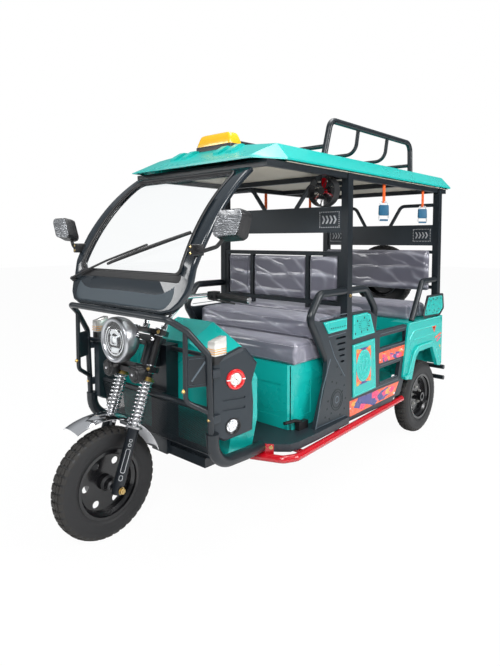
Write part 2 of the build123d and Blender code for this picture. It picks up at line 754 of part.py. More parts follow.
BENCH_BACK = 1545
BENCH_TOP = 866
with BuildPart() as bench_box:
    half = SEAT_BOX_HALF + 2
    inner = half - WALL
    front = SEAT_BACK + 4
    block((-half, half), (front, BENCH_BACK), (FLOOR_TOP, BENCH_TOP))
    cut_block((-inner, inner), (front + WALL, BENCH_BACK - WALL), (FLOOR_TOP, BENCH_TOP - WALL))
    for x in (-half / 2, half / 2):
        wide = (x - half / 3, x + half / 3)
        cut_block(wide, (BENCH_BACK - PRESS, BENCH_BACK), (FLOOR_TOP + 80, BENCH_TOP - 80))
save(bench_box, "bench_box")

with BuildPart() as bench_cushions:
    half = CUSHION_HALF - 2
    block((-half, half), (SEAT_BACK + 6, BENCH_BACK + 15), (BENCH_TOP + SEAT_GAP, 960))
    block((-half, half), (WHEELBASE - 142, REAR_PILLAR - 46), (DECK_Z + SEAT_GAP, 915))
save(bench_cushions, "bench_cushions")

# Fascia boards under the roof, each with a pair of hoops up to the pillars
BOARD = 20
CHEVRONS = 4
CHEVRON_PITCH = 26
CHEVRON_HALF = 22
with BuildPart() as fascias:
    rows = (
        # distance of the board, its low and high edges, hoop's lower and upper x, hoop's top
        (B_PILLAR + 12, 1410, 1560, 121, 230, 1690),
        (REAR_PILLAR + 12, 1328, 1480, 108, 200, 1625),
    )
    for d, low, high, hoop_in, hoop_out, hoop_top in rows:
        block((-PILLAR_IN, PILLAR_IN), (d, d + BOARD), (low, high))
        for side in (-1, 1):
            tube(
                [
                    (side * hoop_in, back(d + BOARD / 2), high - 8),
                    (side * hoop_out, back(d + BOARD / 2), hoop_top),
                    (side * PILLAR_IN, back(d + BOARD / 2), hoop_top),
                ],
                26,
                50,
            )
            # a row of chevrons cut right through
            with BuildSketch(cross_section(d)):
                for i in range(CHEVRONS):
                    x = side * (330 + CHEVRON_PITCH * i)
                    z = (low + high) / 2
                    with BuildLine():
                        Polyline(
                            (x - 8, z + CHEVRON_HALF),
                            (x, z + CHEVRON_HALF),
                            (x + 12, z),
                            (x, z - CHEVRON_HALF),
                            (x - 8, z - CHEVRON_HALF),
                            (x + 4, z),
                            close=True,
                        )
                    make_face()
            extrude(amount=-BOARD, mode=Mode.SUBTRACT)
save(fascias, "fascias")

# Side panels in front of and behind the middle pillar
SLOT_ROWS = 5
PANEL_LOW = FLOOR_Z
PANEL_BACK = WHEELBASE - 266
with BuildPart() as side_panels:
    for side in (-1, 1):
        low, high = sorted((side * (BODY_HALF - SHEET), side * BODY_HALF))
        side_plate(
            [
                (PANEL_FRONT, FLOOR_TOP), (B_PILLAR, FLOOR_TOP), (B_PILLAR, 940), (1000, 936),
                (930, 950), (1060, 745), (1045, 600),
            ],
            low,
            high,
        )
        side_plate(
            [
                (B_PILLAR + PILLAR_DEEP, PANEL_LOW), (PANEL_BACK - 100, PANEL_LOW),
                (PANEL_BACK - 34, 458), (PANEL_BACK - 16, 640), (PANEL_BACK, 700), (PANEL_BACK, 790),
                (PANEL_BACK - 16, 806), (B_PILLAR + 328, 806), (B_PILLAR + 338, 900),
                (B_PILLAR + 251, 948), (B_PILLAR + PILLAR_DEEP, 952),
            ],
            low,
            high,
        )
        # slots in the front panel, openings in the rear one
        with BuildSketch(Plane.YZ.offset(low)):
            for i in range(SLOT_ROWS):
                with Locations((back(1192 + 4 * i), 826 - 34 * i)):
                    SlotOverall(96 - 14 * i, 11)
        extrude(amount=SHEET, mode=Mode.SUBTRACT)
        front = B_PILLAR + 380
        cut_block((low, high), (front, PANEL_BACK - 22), (696, 768))
        opening = [(front, 476), (PANEL_BACK - 126, 476), (PANEL_BACK - 94, 572), (front, 572)]
        side_plate(opening, low, high, Mode.SUBTRACT)
    add(body_frame.part, mode=Mode.SUBTRACT)
save(side_panels, "side_panels")

# Coloured panels on the outside of the side panels and of the rear hoops
INSERT = 6
with BuildPart() as side_inserts:
    outlines = (
        [(1012, 930), (B_PILLAR - 10, 934), (B_PILLAR - 10, 868), (1062, 864)],
        [(1310, 938), (1462, 940), (1503, 926), (1558, 808), (1310, 800)],
        [(1310, 766), (1561, 772), (1580, 464), (1318, 459)],
    )
    for side in (-1, 1):
        x = sorted((side * BODY_HALF, side * (BODY_HALF + INSERT)))
        for outline in outlines:
            side_plate(outline, *x)
        side_plate(
            [
                (WHEELBASE - 41, DECK_Z + 15), (WHEELBASE + 35, 970), (WHEELBASE + 288, 969),
                (WHEELBASE + 303, 865), (WHEELBASE + 238, DECK_Z + 4),
            ],
            *x,
        )
save(side_inserts, "side_inserts")

# Rear body: sides with flared arches, deck under the rear seat, seat box and tail
REAR_SKIN = 12
REAR_HALF = BODY_HALF + REAR_SKIN
WELL_X = TRACK / 2 - TYRE_WIDTH / 2 - 10.5
REAR_LOW = FLOOR_Z + KICK_RISE + 1.5
BOX_FRONT = WHEELBASE - 152
WELL_FRONT = WHEELBASE - 262
FLARE = 13
arch = [
    (WHEELBASE + 179, 456), (WHEELBASE + 83, 607), (WHEELBASE - 133, 603), (WHEELBASE - 180, 568),
    (WHEELBASE - 237, 431),
]
with BuildPart() as rear_body:
    for side in (-1, 1):
        low, high = sorted((side * BODY_HALF, side * REAR_HALF))
        side_plate(
            [
                (PANEL_BACK - 9, 796), (PANEL_BACK + 12, DECK_Z), (REAR_DECK - 40, DECK_Z), (REAR_DECK, 745),
                (REAR_DECK - 20, 437), *arch, (PANEL_BACK - 61, 445), (PANEL_BACK - 78, 464),
            ],
            low,
            high,
        )
        flare = sorted((side * REAR_HALF, side * (REAR_HALF + FLARE)))
        side_plate(
            [
                *arch, (PANEL_BACK - 61, 445), (PANEL_BACK - 74, 466), (PANEL_BACK + 2, 470),
                (WHEELBASE - 206, 596), (WHEELBASE - 148, 642), (WHEELBASE + 102, 645),
                (WHEELBASE + 218, 470),
            ],
            *flare,
        )
        x = sorted((side * (WELL_X - WALL), side * WELL_X))
        block(x, (WELL_FRONT, REAR_DECK - 6), (REAR_LOW, DECK_Z - 2))
        x = sorted((side * (WELL_X - WALL), side * (BODY_HALF - SHEET)))
        block(x, (WELL_FRONT, WELL_FRONT + WALL), (REAR_LOW, DECK_Z - 2))
        x = sorted((side * (WELL_X - WALL), side * REAR_HALF))
        block(x, (WELL_FRONT + 8, REAR_DECK), (DECK_Z - 12, DECK_Z))
    block((-WELL_X, WELL_X), (BOX_FRONT, REAR_DECK), (DECK_Z - 12, DECK_Z))
    block((-WELL_X, WELL_X), (BOX_FRONT, BOX_FRONT + WALL), (REAR_LOW, DECK_Z - 2))
    block((-REAR_HALF, REAR_HALF), (REAR_DECK - 12, REAR_DECK), (REAR_LOW, DECK_Z))
    side_plate(
        [
            (FLOOR_BACK, FLOOR_TOP + 1), (FLOOR_BACK + 8, FLOOR_TOP + 1), (RAIL_KICK + 30, REAR_LOW),
            (BOX_FRONT + 1, REAR_LOW), (BOX_FRONT + 1, REAR_LOW + WALL), (RAIL_KICK + 24, REAR_LOW + WALL),
        ],
        -WELL_X + 1,
        WELL_X - 1,
    )
save(rear_body, "rear_body")

# Red side steps: bent tubes under the floor's edge, on brackets from the ladder rails, with
# a plate bolted to the floor's rim in front
STEP_Z = 306
STEP_D = 38
STEP_PLATE = 4
with BuildPart() as side_steps:
    start = Vector(RIM_START[0], back(RIM_START[1]), 0)
    run = (Vector(RIM_CORNER[0], back(RIM_CORNER[1]), 0) - start).normalized()
    for side in (-1, 1):
        tube(
            [
                (side * (FLOOR_NOSE - 14), back(585), STEP_Z),
                (side * (RIM_CORNER[0] + 46), back(650), STEP_Z),
                (side * (FLOOR_STEP + 20), back(712), STEP_Z),
                (side * (BODY_HALF - 18), back(PANEL_BACK - 35), STEP_Z),
            ],
            STEP_D,
            45,
        )
        for d, reach in ((760, FLOOR_STEP + 4), (1130, BODY_HALF + 18), (1800, BODY_HALF - 20)):
            x = sorted((side * (RAIL_X + RAIL_WIDE / 2), side * reach))
            block(x, (d, d + 30), (STEP_Z + 2, STEP_Z + 14))
        spot = start + run * 62
        plate = Plane(
            origin=(side * spot.X, spot.Y, (STEP_Z + FLOOR_TOP) / 2),
            x_dir=(side * run.X, run.Y, 0),
            z_dir=(side * run.Y, -run.X, 0),
        )
        with BuildSketch(plate):
            Rectangle(62, FLOOR_TOP - STEP_Z)
        extrude(amount=STEP_PLATE)
save(side_steps, "side_steps")

# Rear bumper: two cross tubes on plates behind the ladder rails
BUMPER_D = 34
BUMPER_HALF = 450
BUMPER_HIGH = 371
BUMPER_LOW = 287
COLLAR = 5                  # how far a collar stands out from its tube
bumper_line = WHEELBASE + BUMPER_REACH - BUMPER_D / 2 - COLLAR
with BuildPart() as rear_bumper:
    for z in (BUMPER_HIGH, BUMPER_LOW):
        tube([(-BUMPER_HALF, back(bumper_line), z), (BUMPER_HALF, back(bumper_line), z)], BUMPER_D, 20)
    for side in (-1, 1):
        x = (side * RAIL_X - 6, side * RAIL_X + 6)
        block(x, (RAIL_END, bumper_line - 5), (BUMPER_LOW - 5, FLOOR_Z + KICK_RISE))
        # welded collars where the tubes cross the plates; the tubes' free ends start behind them
        with BuildSketch(Plane.YZ.offset(side * RAIL_X - 6)):
            with Locations((back(bumper_line), BUMPER_HIGH), (back(bumper_line), BUMPER_LOW)):
                Circle(BUMPER_D / 2 + COLLAR)
        extrude(amount=12)
save(rear_bumper, "rear_bumper")

# Rear axle with its gearbox, drive motor, and leaf springs on the axle
AXLE_R = 35
SPINDLE_R = 17
GEAR_R = 94
MOTOR_R = 84
MOTOR_AHEAD = 150
LEAF = 6
LEAF_WIDE = 46
with BuildPart() as rear_axle:
    with BuildSketch(Plane.YZ.offset(-TRACK / 2 + 74)):
        with Locations((back(WHEELBASE), AXLE_Z)):
            Circle(AXLE_R)
    extrude(amount=TRACK - 148)
    with BuildSketch(Plane.YZ.offset(-TRACK / 2 - 40)):
        with Locations((back(WHEELBASE), AXLE_Z)):
            Circle(SPINDLE_R)
    extrude(amount=TRACK + 80)
    with BuildSketch(Plane.YZ.offset(-55)):
        with Locations((back(WHEELBASE), AXLE_Z)):
            Circle(GEAR_R)
        with Locations((back(WHEELBASE - MOTOR_AHEAD), AXLE_Z)):
            Circle(MOTOR_R)
        with Locations((back(WHEELBASE - MOTOR_AHEAD / 2), AXLE_Z)):
            Rectangle(MOTOR_AHEAD, 2 * MOTOR_R - 8)
    extrude(amount=110)
    for side in (-1, 1):
        x = sorted((side * (SPRING_X - 26), side * (SPRING_X + 26)))
        block(x, (WHEELBASE - 40, WHEELBASE + 40), (AXLE_Z, AXLE_Z + AXLE_R))
save(rear_axle, "rear_axle")

with BuildPart() as drive_motor:
    with BuildSketch(Plane.YZ.offset(55)):
        with Locations((back(WHEELBASE - MOTOR_AHEAD), AXLE_Z)):
            Circle(MOTOR_R)
    extrude(amount=180)
    chamfer(drive_motor.edges().sort_by(Axis.X)[-1], length=14)
save(drive_motor, "drive_motor")

with BuildPart() as leaf_springs:
    span = (SPRING_BACK - SPRING_FRONT) / 2
    top = SPRING_EYE_Z - PIN_R - 2
    bottom = AXLE_Z + AXLE_R + SEAT_GAP
    leaves = 4
    for side in (-1, 1):
        for i in range(leaves):
            reach = span * (1 - 0.2 * i)
            low = bottom + LEAF * (leaves - 1 - i)
            sag = (top - bottom - LEAF * leaves) * (reach / span) ** 2
            with BuildSketch(Plane.YZ.offset(side * SPRING_X - LEAF_WIDE / 2)):
                with BuildLine():
                    front_low, back_low = [(back(WHEELBASE + s * reach), low + sag) for s in (-1, 1)]
                    front_high, back_high = [(y, z + LEAF) for y, z in (front_low, back_low)]
                    ThreePointArc(front_low, (back(WHEELBASE), low), back_low)
                    Line(back_low, back_high)
                    ThreePointArc(back_high, (back(WHEELBASE), low + LEAF), front_high)
                    Line(front_high, front_low)
                make_face()
            extrude(amount=LEAF_WIDE)
        with BuildSketch(Plane.YZ.offset(side * SPRING_X - LEAF_WIDE / 2)):
            with Locations((back(SPRING_FRONT), SPRING_EYE_Z), (back(SPRING_BACK), SPRING_EYE_Z)):
                Circle(PIN_R + 8)
        extrude(amount=LEAF_WIDE)
        with BuildSketch(Plane.YZ.offset(side * SPRING_X - LEAF_WIDE / 2)):
            with Locations((back(SPRING_FRONT), SPRING_EYE_Z), (back(SPRING_BACK), SPRING_EYE_Z)):
                Circle(PIN_R + 0.1)
        extrude(amount=LEAF_WIDE, mode=Mode.SUBTRACT)
save(leaf_springs, "leaf_springs")

# Wheels: a tyre and a pressed rim on each, with the hub bored for its axle
BEAD_R = RIM_OD / 2 - 9
BEAD_HALF = 37


def tyre(plane, turn):
    """Adds a tyre: the plane's x runs across the tyre and its y outwards."""
    r = TYRE_OD / 2
    w = TYRE_WIDTH / 2
    half = [
        (BEAD_HALF, BEAD_R), (BEAD_HALF, BEAD_R + 12), (w - 3, BEAD_R + 32), (w, (r + BEAD_R) / 2 + 8),
        (w - 4, r - 22), (w - 13, r - 7), (18, r),
    ]
    with BuildSketch(plane) as profile:
        with BuildLine():
            Polyline(*mirrored(half), close=True)
        make_face()
    revolve(profile.sketch, axis=turn)


def rim(plane, turn, bore, drum_side):
    """Adds a rim barrel with flanges, a dished disc, a hub and a brake drum."""
    flange = RIM_OD / 2
    half = [
        (BEAD_HALF + 5, flange), (BEAD_HALF + SEAT_GAP, flange), (BEAD_HALF + SEAT_GAP, BEAD_R), (24, BEAD_R),
        (14, BEAD_R - 14),
    ]
    inside = [(16, BEAD_R - 19), (27, BEAD_R - 5), (BEAD_HALF + 5, BEAD_R - 5)]
    with BuildSketch(plane) as profile:
        with BuildLine():
            inner = [(-x, y) for x, y in reversed(inside)]
            Polyline(*mirrored(half), *inner, *inside, close=True)
        make_face()
        with Locations((0, (BEAD_R - 14 + HUB_R) / 2)):
            Rectangle(6, BEAD_R - 14 - HUB_R + 8)
        with Locations((0, (HUB_R + bore) / 2)):
            Rectangle(2 * HUB_HALF - 6, HUB_R - bore)
        with Locations((drum_side * 25, 52)):
            Rectangle(50, 52)
    revolve(profile.sketch, axis=turn)


wheels = (
    # name, x, distance, bore radius, side the brake drum is on
    ("front", 0, 0, FRONT_AXLE_R + RUN_GAP, -1),
    ("rear_left", TRACK / 2, WHEELBASE, SPINDLE_R + RUN_GAP, -1),
    ("rear_right", -TRACK / 2, WHEELBASE, SPINDLE_R + RUN_GAP, 1),
)
for name, x, d, bore, drum_side in wheels:
    centre = (x, back(d), AXLE_Z)
    plane = Plane(origin=centre, x_dir=(1, 0, 0), z_dir=(0, -1, 0))
    turn = Axis(centre, (1, 0, 0))
    with BuildPart() as wheel_tyre:
        tyre(plane, turn)
    save(wheel_tyre, f"{name}_tyre")
    with BuildPart() as wheel_rim:
        rim(plane, turn, bore, drum_side)
        # vent holes in the disc
        vents = (x - 20 * drum_side, back(d), AXLE_Z)
        with BuildSketch(Plane(origin=vents, x_dir=(0, 1, 0), z_dir=(-drum_side, 0, 0))):
            with PolarLocations(102, 6):
                Circle(17)
        extrude(amount=-30, mode=Mode.SUBTRACT)
    save(wheel_rim, f"{name}_rim")

# Spare wheel, upright behind the rear backrest on a plate across the rear pillars
centre = (0, back(SPARE_D), SPARE_Z)
plane = Plane(origin=centre, x_dir=(0, 1, 0), z_dir=(1, 0, 0))
turn = Axis(centre, (0, 1, 0))
with BuildPart() as spare_tyre:
    tyre(plane, turn)
save(spare_tyre, "spare_tyre")
with BuildPart() as spare_rim:
    rim(plane, turn, FRONT_AXLE_R, -1)
save(spare_rim, "spare_rim")

# Fork: telescopic legs, clamps, stem and axle, welded and bolted as one
CLAMP_LOW = (530, 555)
CLAMP_HIGH = (708, 730)
LEG_R = 21
SLEEVE_R = 26
ROD_R = 15
SPRING_LOW = 278
SPRING_HIGH = 487
FLANGE = 8
with BuildPart() as fork:
    for x in (-LEG_SPREAD, LEG_SPREAD):
        rows = (
            # from, to, radius
            (-24, 40, 22), (20, SPRING_LOW - FLANGE, SLEEVE_R), (SPRING_LOW - FLANGE, SPRING_LOW, 36),
            (SPRING_LOW, SPRING_HIGH, ROD_R), (SPRING_HIGH, SPRING_HIGH + FLANGE, 36),
            (SPRING_HIGH + FLANGE, SPRING_HIGH + 2 * FLANGE, 28), (SPRING_HIGH, 735, LEG_R),
        )
        for low, high, radius in rows:
            with BuildSketch(fork_plane.offset(low)):
                with Locations((x, 0)):
                    Circle(radius)
            extrude(amount=high - low)
    for low, high in (CLAMP_LOW, CLAMP_HIGH):
        with BuildSketch(fork_plane.offset(low)):
            with BuildLine():
                Polyline((-126, -24), (126, -24), (126, 22), (92, 64), (-92, 64), (-126, 22), close=True)
            make_face()
            fillet(vertices(), 14)
        extrude(amount=high - low)
    with BuildSketch(fork_plane.offset(CLAMP_LOW[0])):
        with Locations((0, FORK_OFFSET)):
            Circle(STEM_R)
    extrude(amount=CLAMP_HIGH[1] - CLAMP_LOW[0])
    with BuildSketch(Plane.YZ.offset(-LEG_SPREAD - 32)):
        with Locations((back(0), AXLE_Z)):
            Circle(FRONT_AXLE_R)
    extrude(amount=2 * LEG_SPREAD + 64)
save(fork, "fork")

# Coil springs round the legs: open turns of round wire between the flanges
TURNS = 11
WIRE = 9
COIL_R = 27                 # middle of the wire
with BuildPart() as fork_springs:
    height = SPRING_HIGH - SPRING_LOW - WIRE - 2 * SEAT_GAP
    for x in (-LEG_SPREAD, LEG_SPREAD):
        foot = fork_plane.from_local_coords(Vector(x, 0, SPRING_LOW + WIRE / 2 + SEAT_GAP))
        with BuildLine() as coil:
            Helix(pitch=height / TURNS, height=height, radius=COIL_R, center=foot, direction=fork_plane.z_dir)
        with BuildSketch(Plane(origin=coil.line @ 0, z_dir=coil.line % 0)) as wire:
            Circle(WIRE / 2)
        sweep(wire.sketch, path=coil.line, is_frenet=True)
save(fork_springs, "fork_springs")

# Handlebar: risers on the top clamp, swept bar, grips, switch boxes and levers
GRIP_OUT = 380


def fork_point(x, y, s):
    return fork_plane.from_local_coords(Vector(x, y, s))


with BuildPart() as handlebar:
    for side in (-1, 1):
        foot = fork_point(side * 72, FORK_OFFSET, CLAMP_HIGH[1])
        with BuildSketch(fork_plane.offset(CLAMP_HIGH[1])):
            with Locations((side * 72, FORK_OFFSET)):
                Circle(17)
        extrude(amount=26)
        tube(
            [
                fork_point(side * 72, FORK_OFFSET, CLAMP_HIGH[1] + 6),
                (side * 92, back(322), 1000),
                (side * 104, back(413), 1086),
                (side * 150, back(530), 1092),
                (side * GRIP_OUT, back(575), 1074),
            ],
            22,
            28,
        )
        tube([(side * 200, back(539.8), 1088), (side * GRIP_OUT, back(575), 1074)], 32, 10)
        x = sorted((side * 152, side * 196))
        block(x, (508, 556), (1070, 1110))
        tube(
            [(side * 172, back(520), 1082), (side * 190, back(478), 1078), (side * 350, back(500), 1064)],
            9,
            14,
        )
save(handlebar, "handlebar")

# Round headlamp on two arms from the fork legs
LAMP_Z = 906
LAMP_FRONT = 64
HEAD_LAMP_R = 106
with BuildPart() as headlamp:
    centre = (0, back(0), LAMP_Z)
    profile = [
        (0, 52), (60, 56), (88, 64), (92, 60), (HEAD_LAMP_R, 64), (HEAD_LAMP_R, 92), (100, 122), (78, 152),
        (48, 170), (0, 174),
    ]
    with BuildSketch(Plane(origin=centre, x_dir=(1, 0, 0), z_dir=(0, 0, 1))):
        with BuildLine():
            Polyline(*profile, close=True)
        make_face()
    revolve(axis=Axis(centre, (0, 1, 0)))
    for side in (-1, 1):
        x = sorted((side * 88, side * 102))
        with BuildSketch(fork_plane.offset(664)):
            with Locations(((x[0] + x[1]) / 2, -(126 + LEG_R + SEAT_GAP) / 2)):
                Rectangle(14, 126 - LEG_R - SEAT_GAP)
        extrude(amount=32)
save(headlamp, "headlamp")

# Pair of horns on a cross plate in front of the legs
with BuildPart() as horns:
    with BuildSketch(fork_plane.offset(506)):
        with Locations((0, -(58 + LEG_R + SEAT_GAP) / 2)):
            Rectangle(236, 58 - LEG_R - SEAT_GAP)
    extrude(amount=22)
    for side in (-1, 1):
        with BuildSketch(Plane(origin=(side * 105, back(128), 756), x_dir=(1, 0, 0), z_dir=(0, -1, 0))):
            Circle(39)
        extrude(amount=34)
        with BuildSketch(Plane(origin=(side * 105, back(94), 756), x_dir=(1, 0, 0), z_dir=(0, -1, 0))):
            Circle(24)
        extrude(amount=10)
save(horns, "horns")

# Front mudguard: crowned section swept round the wheel, on strips to the legs
FENDER_HALF = 62
FENDER_SAG = 18
FENDER_THICK = 3
with BuildPart() as front_fender:
    with BuildLine() as sweep_line:
        ThreePointArc((0, back(-176), 548), (0, back(15), 577), (0, back(280), 352))
    start = Plane(origin=sweep_line.line @ 0, x_dir=(1, 0, 0), z_dir=sweep_line.line % 0)
    with BuildSketch(start):
        with BuildLine():
            sign = 1 if start.y_dir.Z > 0 else -1
            drop = -sign * FENDER_SAG
            thick = -sign * FENDER_THICK
            ThreePointArc((-FENDER_HALF, drop), (0, 0), (FENDER_HALF, drop))
            Line((FENDER_HALF, drop), (FENDER_HALF - 2, drop + thick))
            ThreePointArc((FENDER_HALF - 2, drop + thick), (0, thick), (-FENDER_HALF + 2, drop + thick))
            Line((-FENDER_HALF + 2, drop + thick), (-FENDER_HALF, drop))
        make_face()
    sweep(path=sweep_line.line)
    for side in (-1, 1):
        with BuildSketch(fork_plane.offset(244)):
            with Locations((side * 59.7, 0)):
                Rectangle(7.4, 22)
        extrude(amount=66)
        with BuildSketch(fork_plane.offset(244)):
            with Locations((side * (56 + LEG_SPREAD - SLEEVE_R - SEAT_GAP) / 2, 0)):
                Rectangle(LEG_SPREAD - SLEEVE_R - SEAT_GAP - 56, 22)
        extrude(amount=22)
save(front_fender, "front_fender")

# Hanging grab straps under the roof rails
STRAP_X = PILLAR_IN + 22
with BuildPart() as grab_straps:
    for side in (-1, 1):
        for d in (1700, WHEELBASE - 17):
            x = sorted((side * (STRAP_X - 3), side * (STRAP_X + 3)))
            block(x, (d - 13, d + 13), (1600, RAIL_LOW - SEAT_GAP))
            x = sorted((side * (STRAP_X - 8), side * (STRAP_X + 8)))
            block(x, (d - 32, d + 32), (1520, 1602))
            x = sorted((side * (STRAP_X - 4), side * (STRAP_X + 4)))
            block(x, (d - 34, d + 34), (1482, 1524))
            cut_block(x, (d - 26, d + 26), (1490, 1518))
save(grab_straps, "grab_straps")

# Small fan under the roof: cage with bars, motor can and arm; the rotor turns inside
FAN_X = 398
FAN_Z = 1640
FAN_D = 1140
FAN_R = 88
ROTOR_R = 74
SHAFT_R = 4
with BuildPart() as fan_guard:
    face = Plane(origin=(FAN_X, back(FAN_D), FAN_Z), x_dir=(1, 0, 0), z_dir=(0, 1, 0))
    with BuildSketch(face):
        Circle(FAN_R)
        Circle(FAN_R - 4, mode=Mode.SUBTRACT)
    extrude(amount=56)
    for depth in (0, 52):
        with BuildSketch(face.offset(depth)):
            for angle in range(0, 180, 30):
                Rectangle(2 * FAN_R - 4, 3, rotation=angle)
            Circle(20)
        extrude(amount=4)
    with BuildSketch(face.offset(56)):
        Circle(30)
    extrude(amount=36)
    with BuildSketch(face.offset(4)):
        Circle(SHAFT_R)
    extrude(amount=50)
    block((FAN_X - 7, FAN_X + 7), (FAN_D + 76, FAN_D + 90), (FAN_Z, RAIL_TOP - 8))
    block((FAN_X - 7, FAN_X + 7), (FAN_D + 76, B_PILLAR + 10), (RAIL_TOP - 20, RAIL_TOP - 8))
save(fan_guard, "fan_guard")

with BuildPart() as fan_rotor:
    with BuildSketch(face.offset(18)):
        Circle(16)
    extrude(amount=22)
    for angle in (90, 210, 330):
        blade = Plane(
            origin=(FAN_X, back(FAN_D + 29), FAN_Z),
            x_dir=(math.cos(math.radians(angle)), 0, math.sin(math.radians(angle))),
            z_dir=(-math.sin(math.radians(angle)) * 0.87, 0.5, math.cos(math.radians(angle)) * 0.87),
        )
        with BuildSketch(blade):
            with BuildLine():
                Polyline((10, -6), (ROTOR_R - 8, -20), (ROTOR_R, 0), (ROTOR_R - 8, 20), (10, 6), close=True)
            make_face()
        extrude(amount=1.2, both=True)
    with BuildSketch(face.offset(0)):
        Circle(SHAFT_R + RUN_GAP)
    extrude(amount=60, mode=Mode.SUBTRACT)
save(fan_rotor, "fan_rotor")

# Parking brake beside the seat box
with BuildPart() as parking_brake:
    block((SEAT_BOX_HALF + 6, SEAT_BOX_HALF + 34), (880, 960), (FLOOR_TOP, FLOOR_TOP + 42))
    tube(
        [
            (SEAT_BOX_HALF + 20, back(945), FLOOR_TOP + 28),
            (SEAT_BOX_HALF + 20, back(860), FLOOR_TOP + 58),
            (SEAT_BOX_HALF + 22, back(770), FLOOR_TOP + 66),
        ],
        18,
        30,
    )
save(parking_brake, "parking_brake")
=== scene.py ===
import bpy
import bmesh
import random
from math import atan, atan2, copysign, cos, exp, hypot, pi, radians, sin, sqrt, tan, tanh
from mathutils import Matrix, Vector
from mathutils.bvhtree import BVHTree


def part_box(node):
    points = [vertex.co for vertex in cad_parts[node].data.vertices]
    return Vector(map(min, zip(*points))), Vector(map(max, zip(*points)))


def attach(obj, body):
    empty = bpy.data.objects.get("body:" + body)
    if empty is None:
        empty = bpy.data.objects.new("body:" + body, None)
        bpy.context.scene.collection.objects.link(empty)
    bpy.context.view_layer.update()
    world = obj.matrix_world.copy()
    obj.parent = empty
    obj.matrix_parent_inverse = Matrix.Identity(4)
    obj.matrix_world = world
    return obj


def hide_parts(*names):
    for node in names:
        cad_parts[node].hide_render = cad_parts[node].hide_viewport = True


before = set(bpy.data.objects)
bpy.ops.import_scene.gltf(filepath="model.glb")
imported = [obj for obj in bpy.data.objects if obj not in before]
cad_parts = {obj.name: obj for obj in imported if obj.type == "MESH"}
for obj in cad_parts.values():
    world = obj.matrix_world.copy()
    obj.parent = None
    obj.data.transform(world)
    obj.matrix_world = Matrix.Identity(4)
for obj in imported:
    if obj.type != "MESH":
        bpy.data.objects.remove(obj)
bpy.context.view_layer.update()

# The rickshaw stands on a plain pale floor in a soft studio. The view is from the front left at
# head height, as close as someone who is about to walk round it.
eye = Vector((2.1049, -2.5916, 1.3652))
looking = Vector((-0.6703, 0.7396, -0.0606))
camera = bpy.data.cameras.new("studio_camera")
camera.sensor_width = 36
camera.lens = 28.80
camera.shift_x = -0.0009
camera.shift_y = -0.0903
camera.clip_end = 60
camera_object = bpy.data.objects.new("studio_camera", camera)
camera_object.location = eye
camera_object.rotation_euler = looking.to_track_quat("-Z", "Y").to_euler()
bpy.context.scene.collection.objects.link(camera_object)
bpy.context.scene.camera = camera_object
bpy.context.scene.view_settings.view_transform = "Standard"


def set_inputs(node, values):
    """Gives a node's sockets their values by name."""
    for name, value in values.items():
        node.inputs[name].default_value = value


def lamp_panel(name, place, towards, width, power):
    """A soft rectangular lamp in the studio, aimed at a point of the rickshaw."""
    light = bpy.data.lights.new(name, "AREA")
    light.shape = "RECTANGLE"
    light.size = width
    light.size_y = width * 0.7
    light.energy = power
    holder = bpy.data.objects.new(name, light)
    holder.location = place
    holder.rotation_euler = (Vector(towards) - Vector(place)).to_track_quat("-Z", "Y").to_euler()
    bpy.context.scene.collection.objects.link(holder)


lamp_panel("front_softbox", (3.6, -4.6, 4.6), (0, -0.3, 0.9), 2.6, 330)
lamp_panel("left_softbox", (5.6, 1.4, 3.4), (0, 0.2, 0.9), 2.4, 215)
lamp_panel("nose_softbox", (-3.8, -4.8, 3.2), (0, -0.6, 0.9), 2.0, 80)
lamp_panel("roof_softbox", (0.4, 0.6, 5.6), (0, 0, 1.0), 3.6, 190)


def seen_rays(nodes, links):
    """1 for rays from the camera, straight or through glass, which find the room plain white."""
    path = nodes.new("ShaderNodeLightPath")
    larger = nodes.new("ShaderNodeMath")
    larger.operation = "MAXIMUM"
    links.new(path.outputs["Is Camera Ray"], larger.inputs[0])
    links.new(path.outputs["Is Transmission Ray"], larger.inputs[1])
    return larger.outputs[0]


# The room is pale above and darker towards the horizon, so that bright metal has something to
# reflect. What the camera sees behind the rickshaw is white.
room = bpy.data.worlds.new("white_room")
bpy.context.scene.world = room
room.use_nodes = True
room_nodes = room.node_tree.nodes
room_links = room.node_tree.links
room_nodes.clear()
room_way = room_nodes.new("ShaderNodeTexCoord")
room_split = room_nodes.new("ShaderNodeSeparateXYZ")
room_links.new(room_way.outputs["Generated"], room_split.inputs[0])
room_ramp = room_nodes.new("ShaderNodeValToRGB")
room_ramp.color_ramp.elements[0].position = 0.02
room_ramp.color_ramp.elements[0].color = (0.10, 0.11, 0.12, 1)
room_ramp.color_ramp.elements[1].position = 0.80
room_ramp.color_ramp.elements[1].color = (0.74, 0.77, 0.80, 1)
room_links.new(room_split.outputs["Z"], room_ramp.inputs["Fac"])
room_light = room_nodes.new("ShaderNodeBackground")
room_light.inputs["Strength"].default_value = 0.62
room_links.new(room_ramp.outputs[0], room_light.inputs["Color"])
room_seen = room_nodes.new("ShaderNodeBackground")
set_inputs(room_seen, {"Color": (1, 1, 1, 1), "Strength": 1.0})
room_mix = room_nodes.new("ShaderNodeMixShader")
room_out = room_nodes.new("ShaderNodeOutputWorld")
room_links.new(seen_rays(room_nodes, room_links), room_mix.inputs[0])
room_links.new(room_light.outputs[0], room_mix.inputs[1])
room_links.new(room_seen.outputs[0], room_mix.inputs[2])
room_links.new(room_mix.outputs[0], room_out.inputs[0])

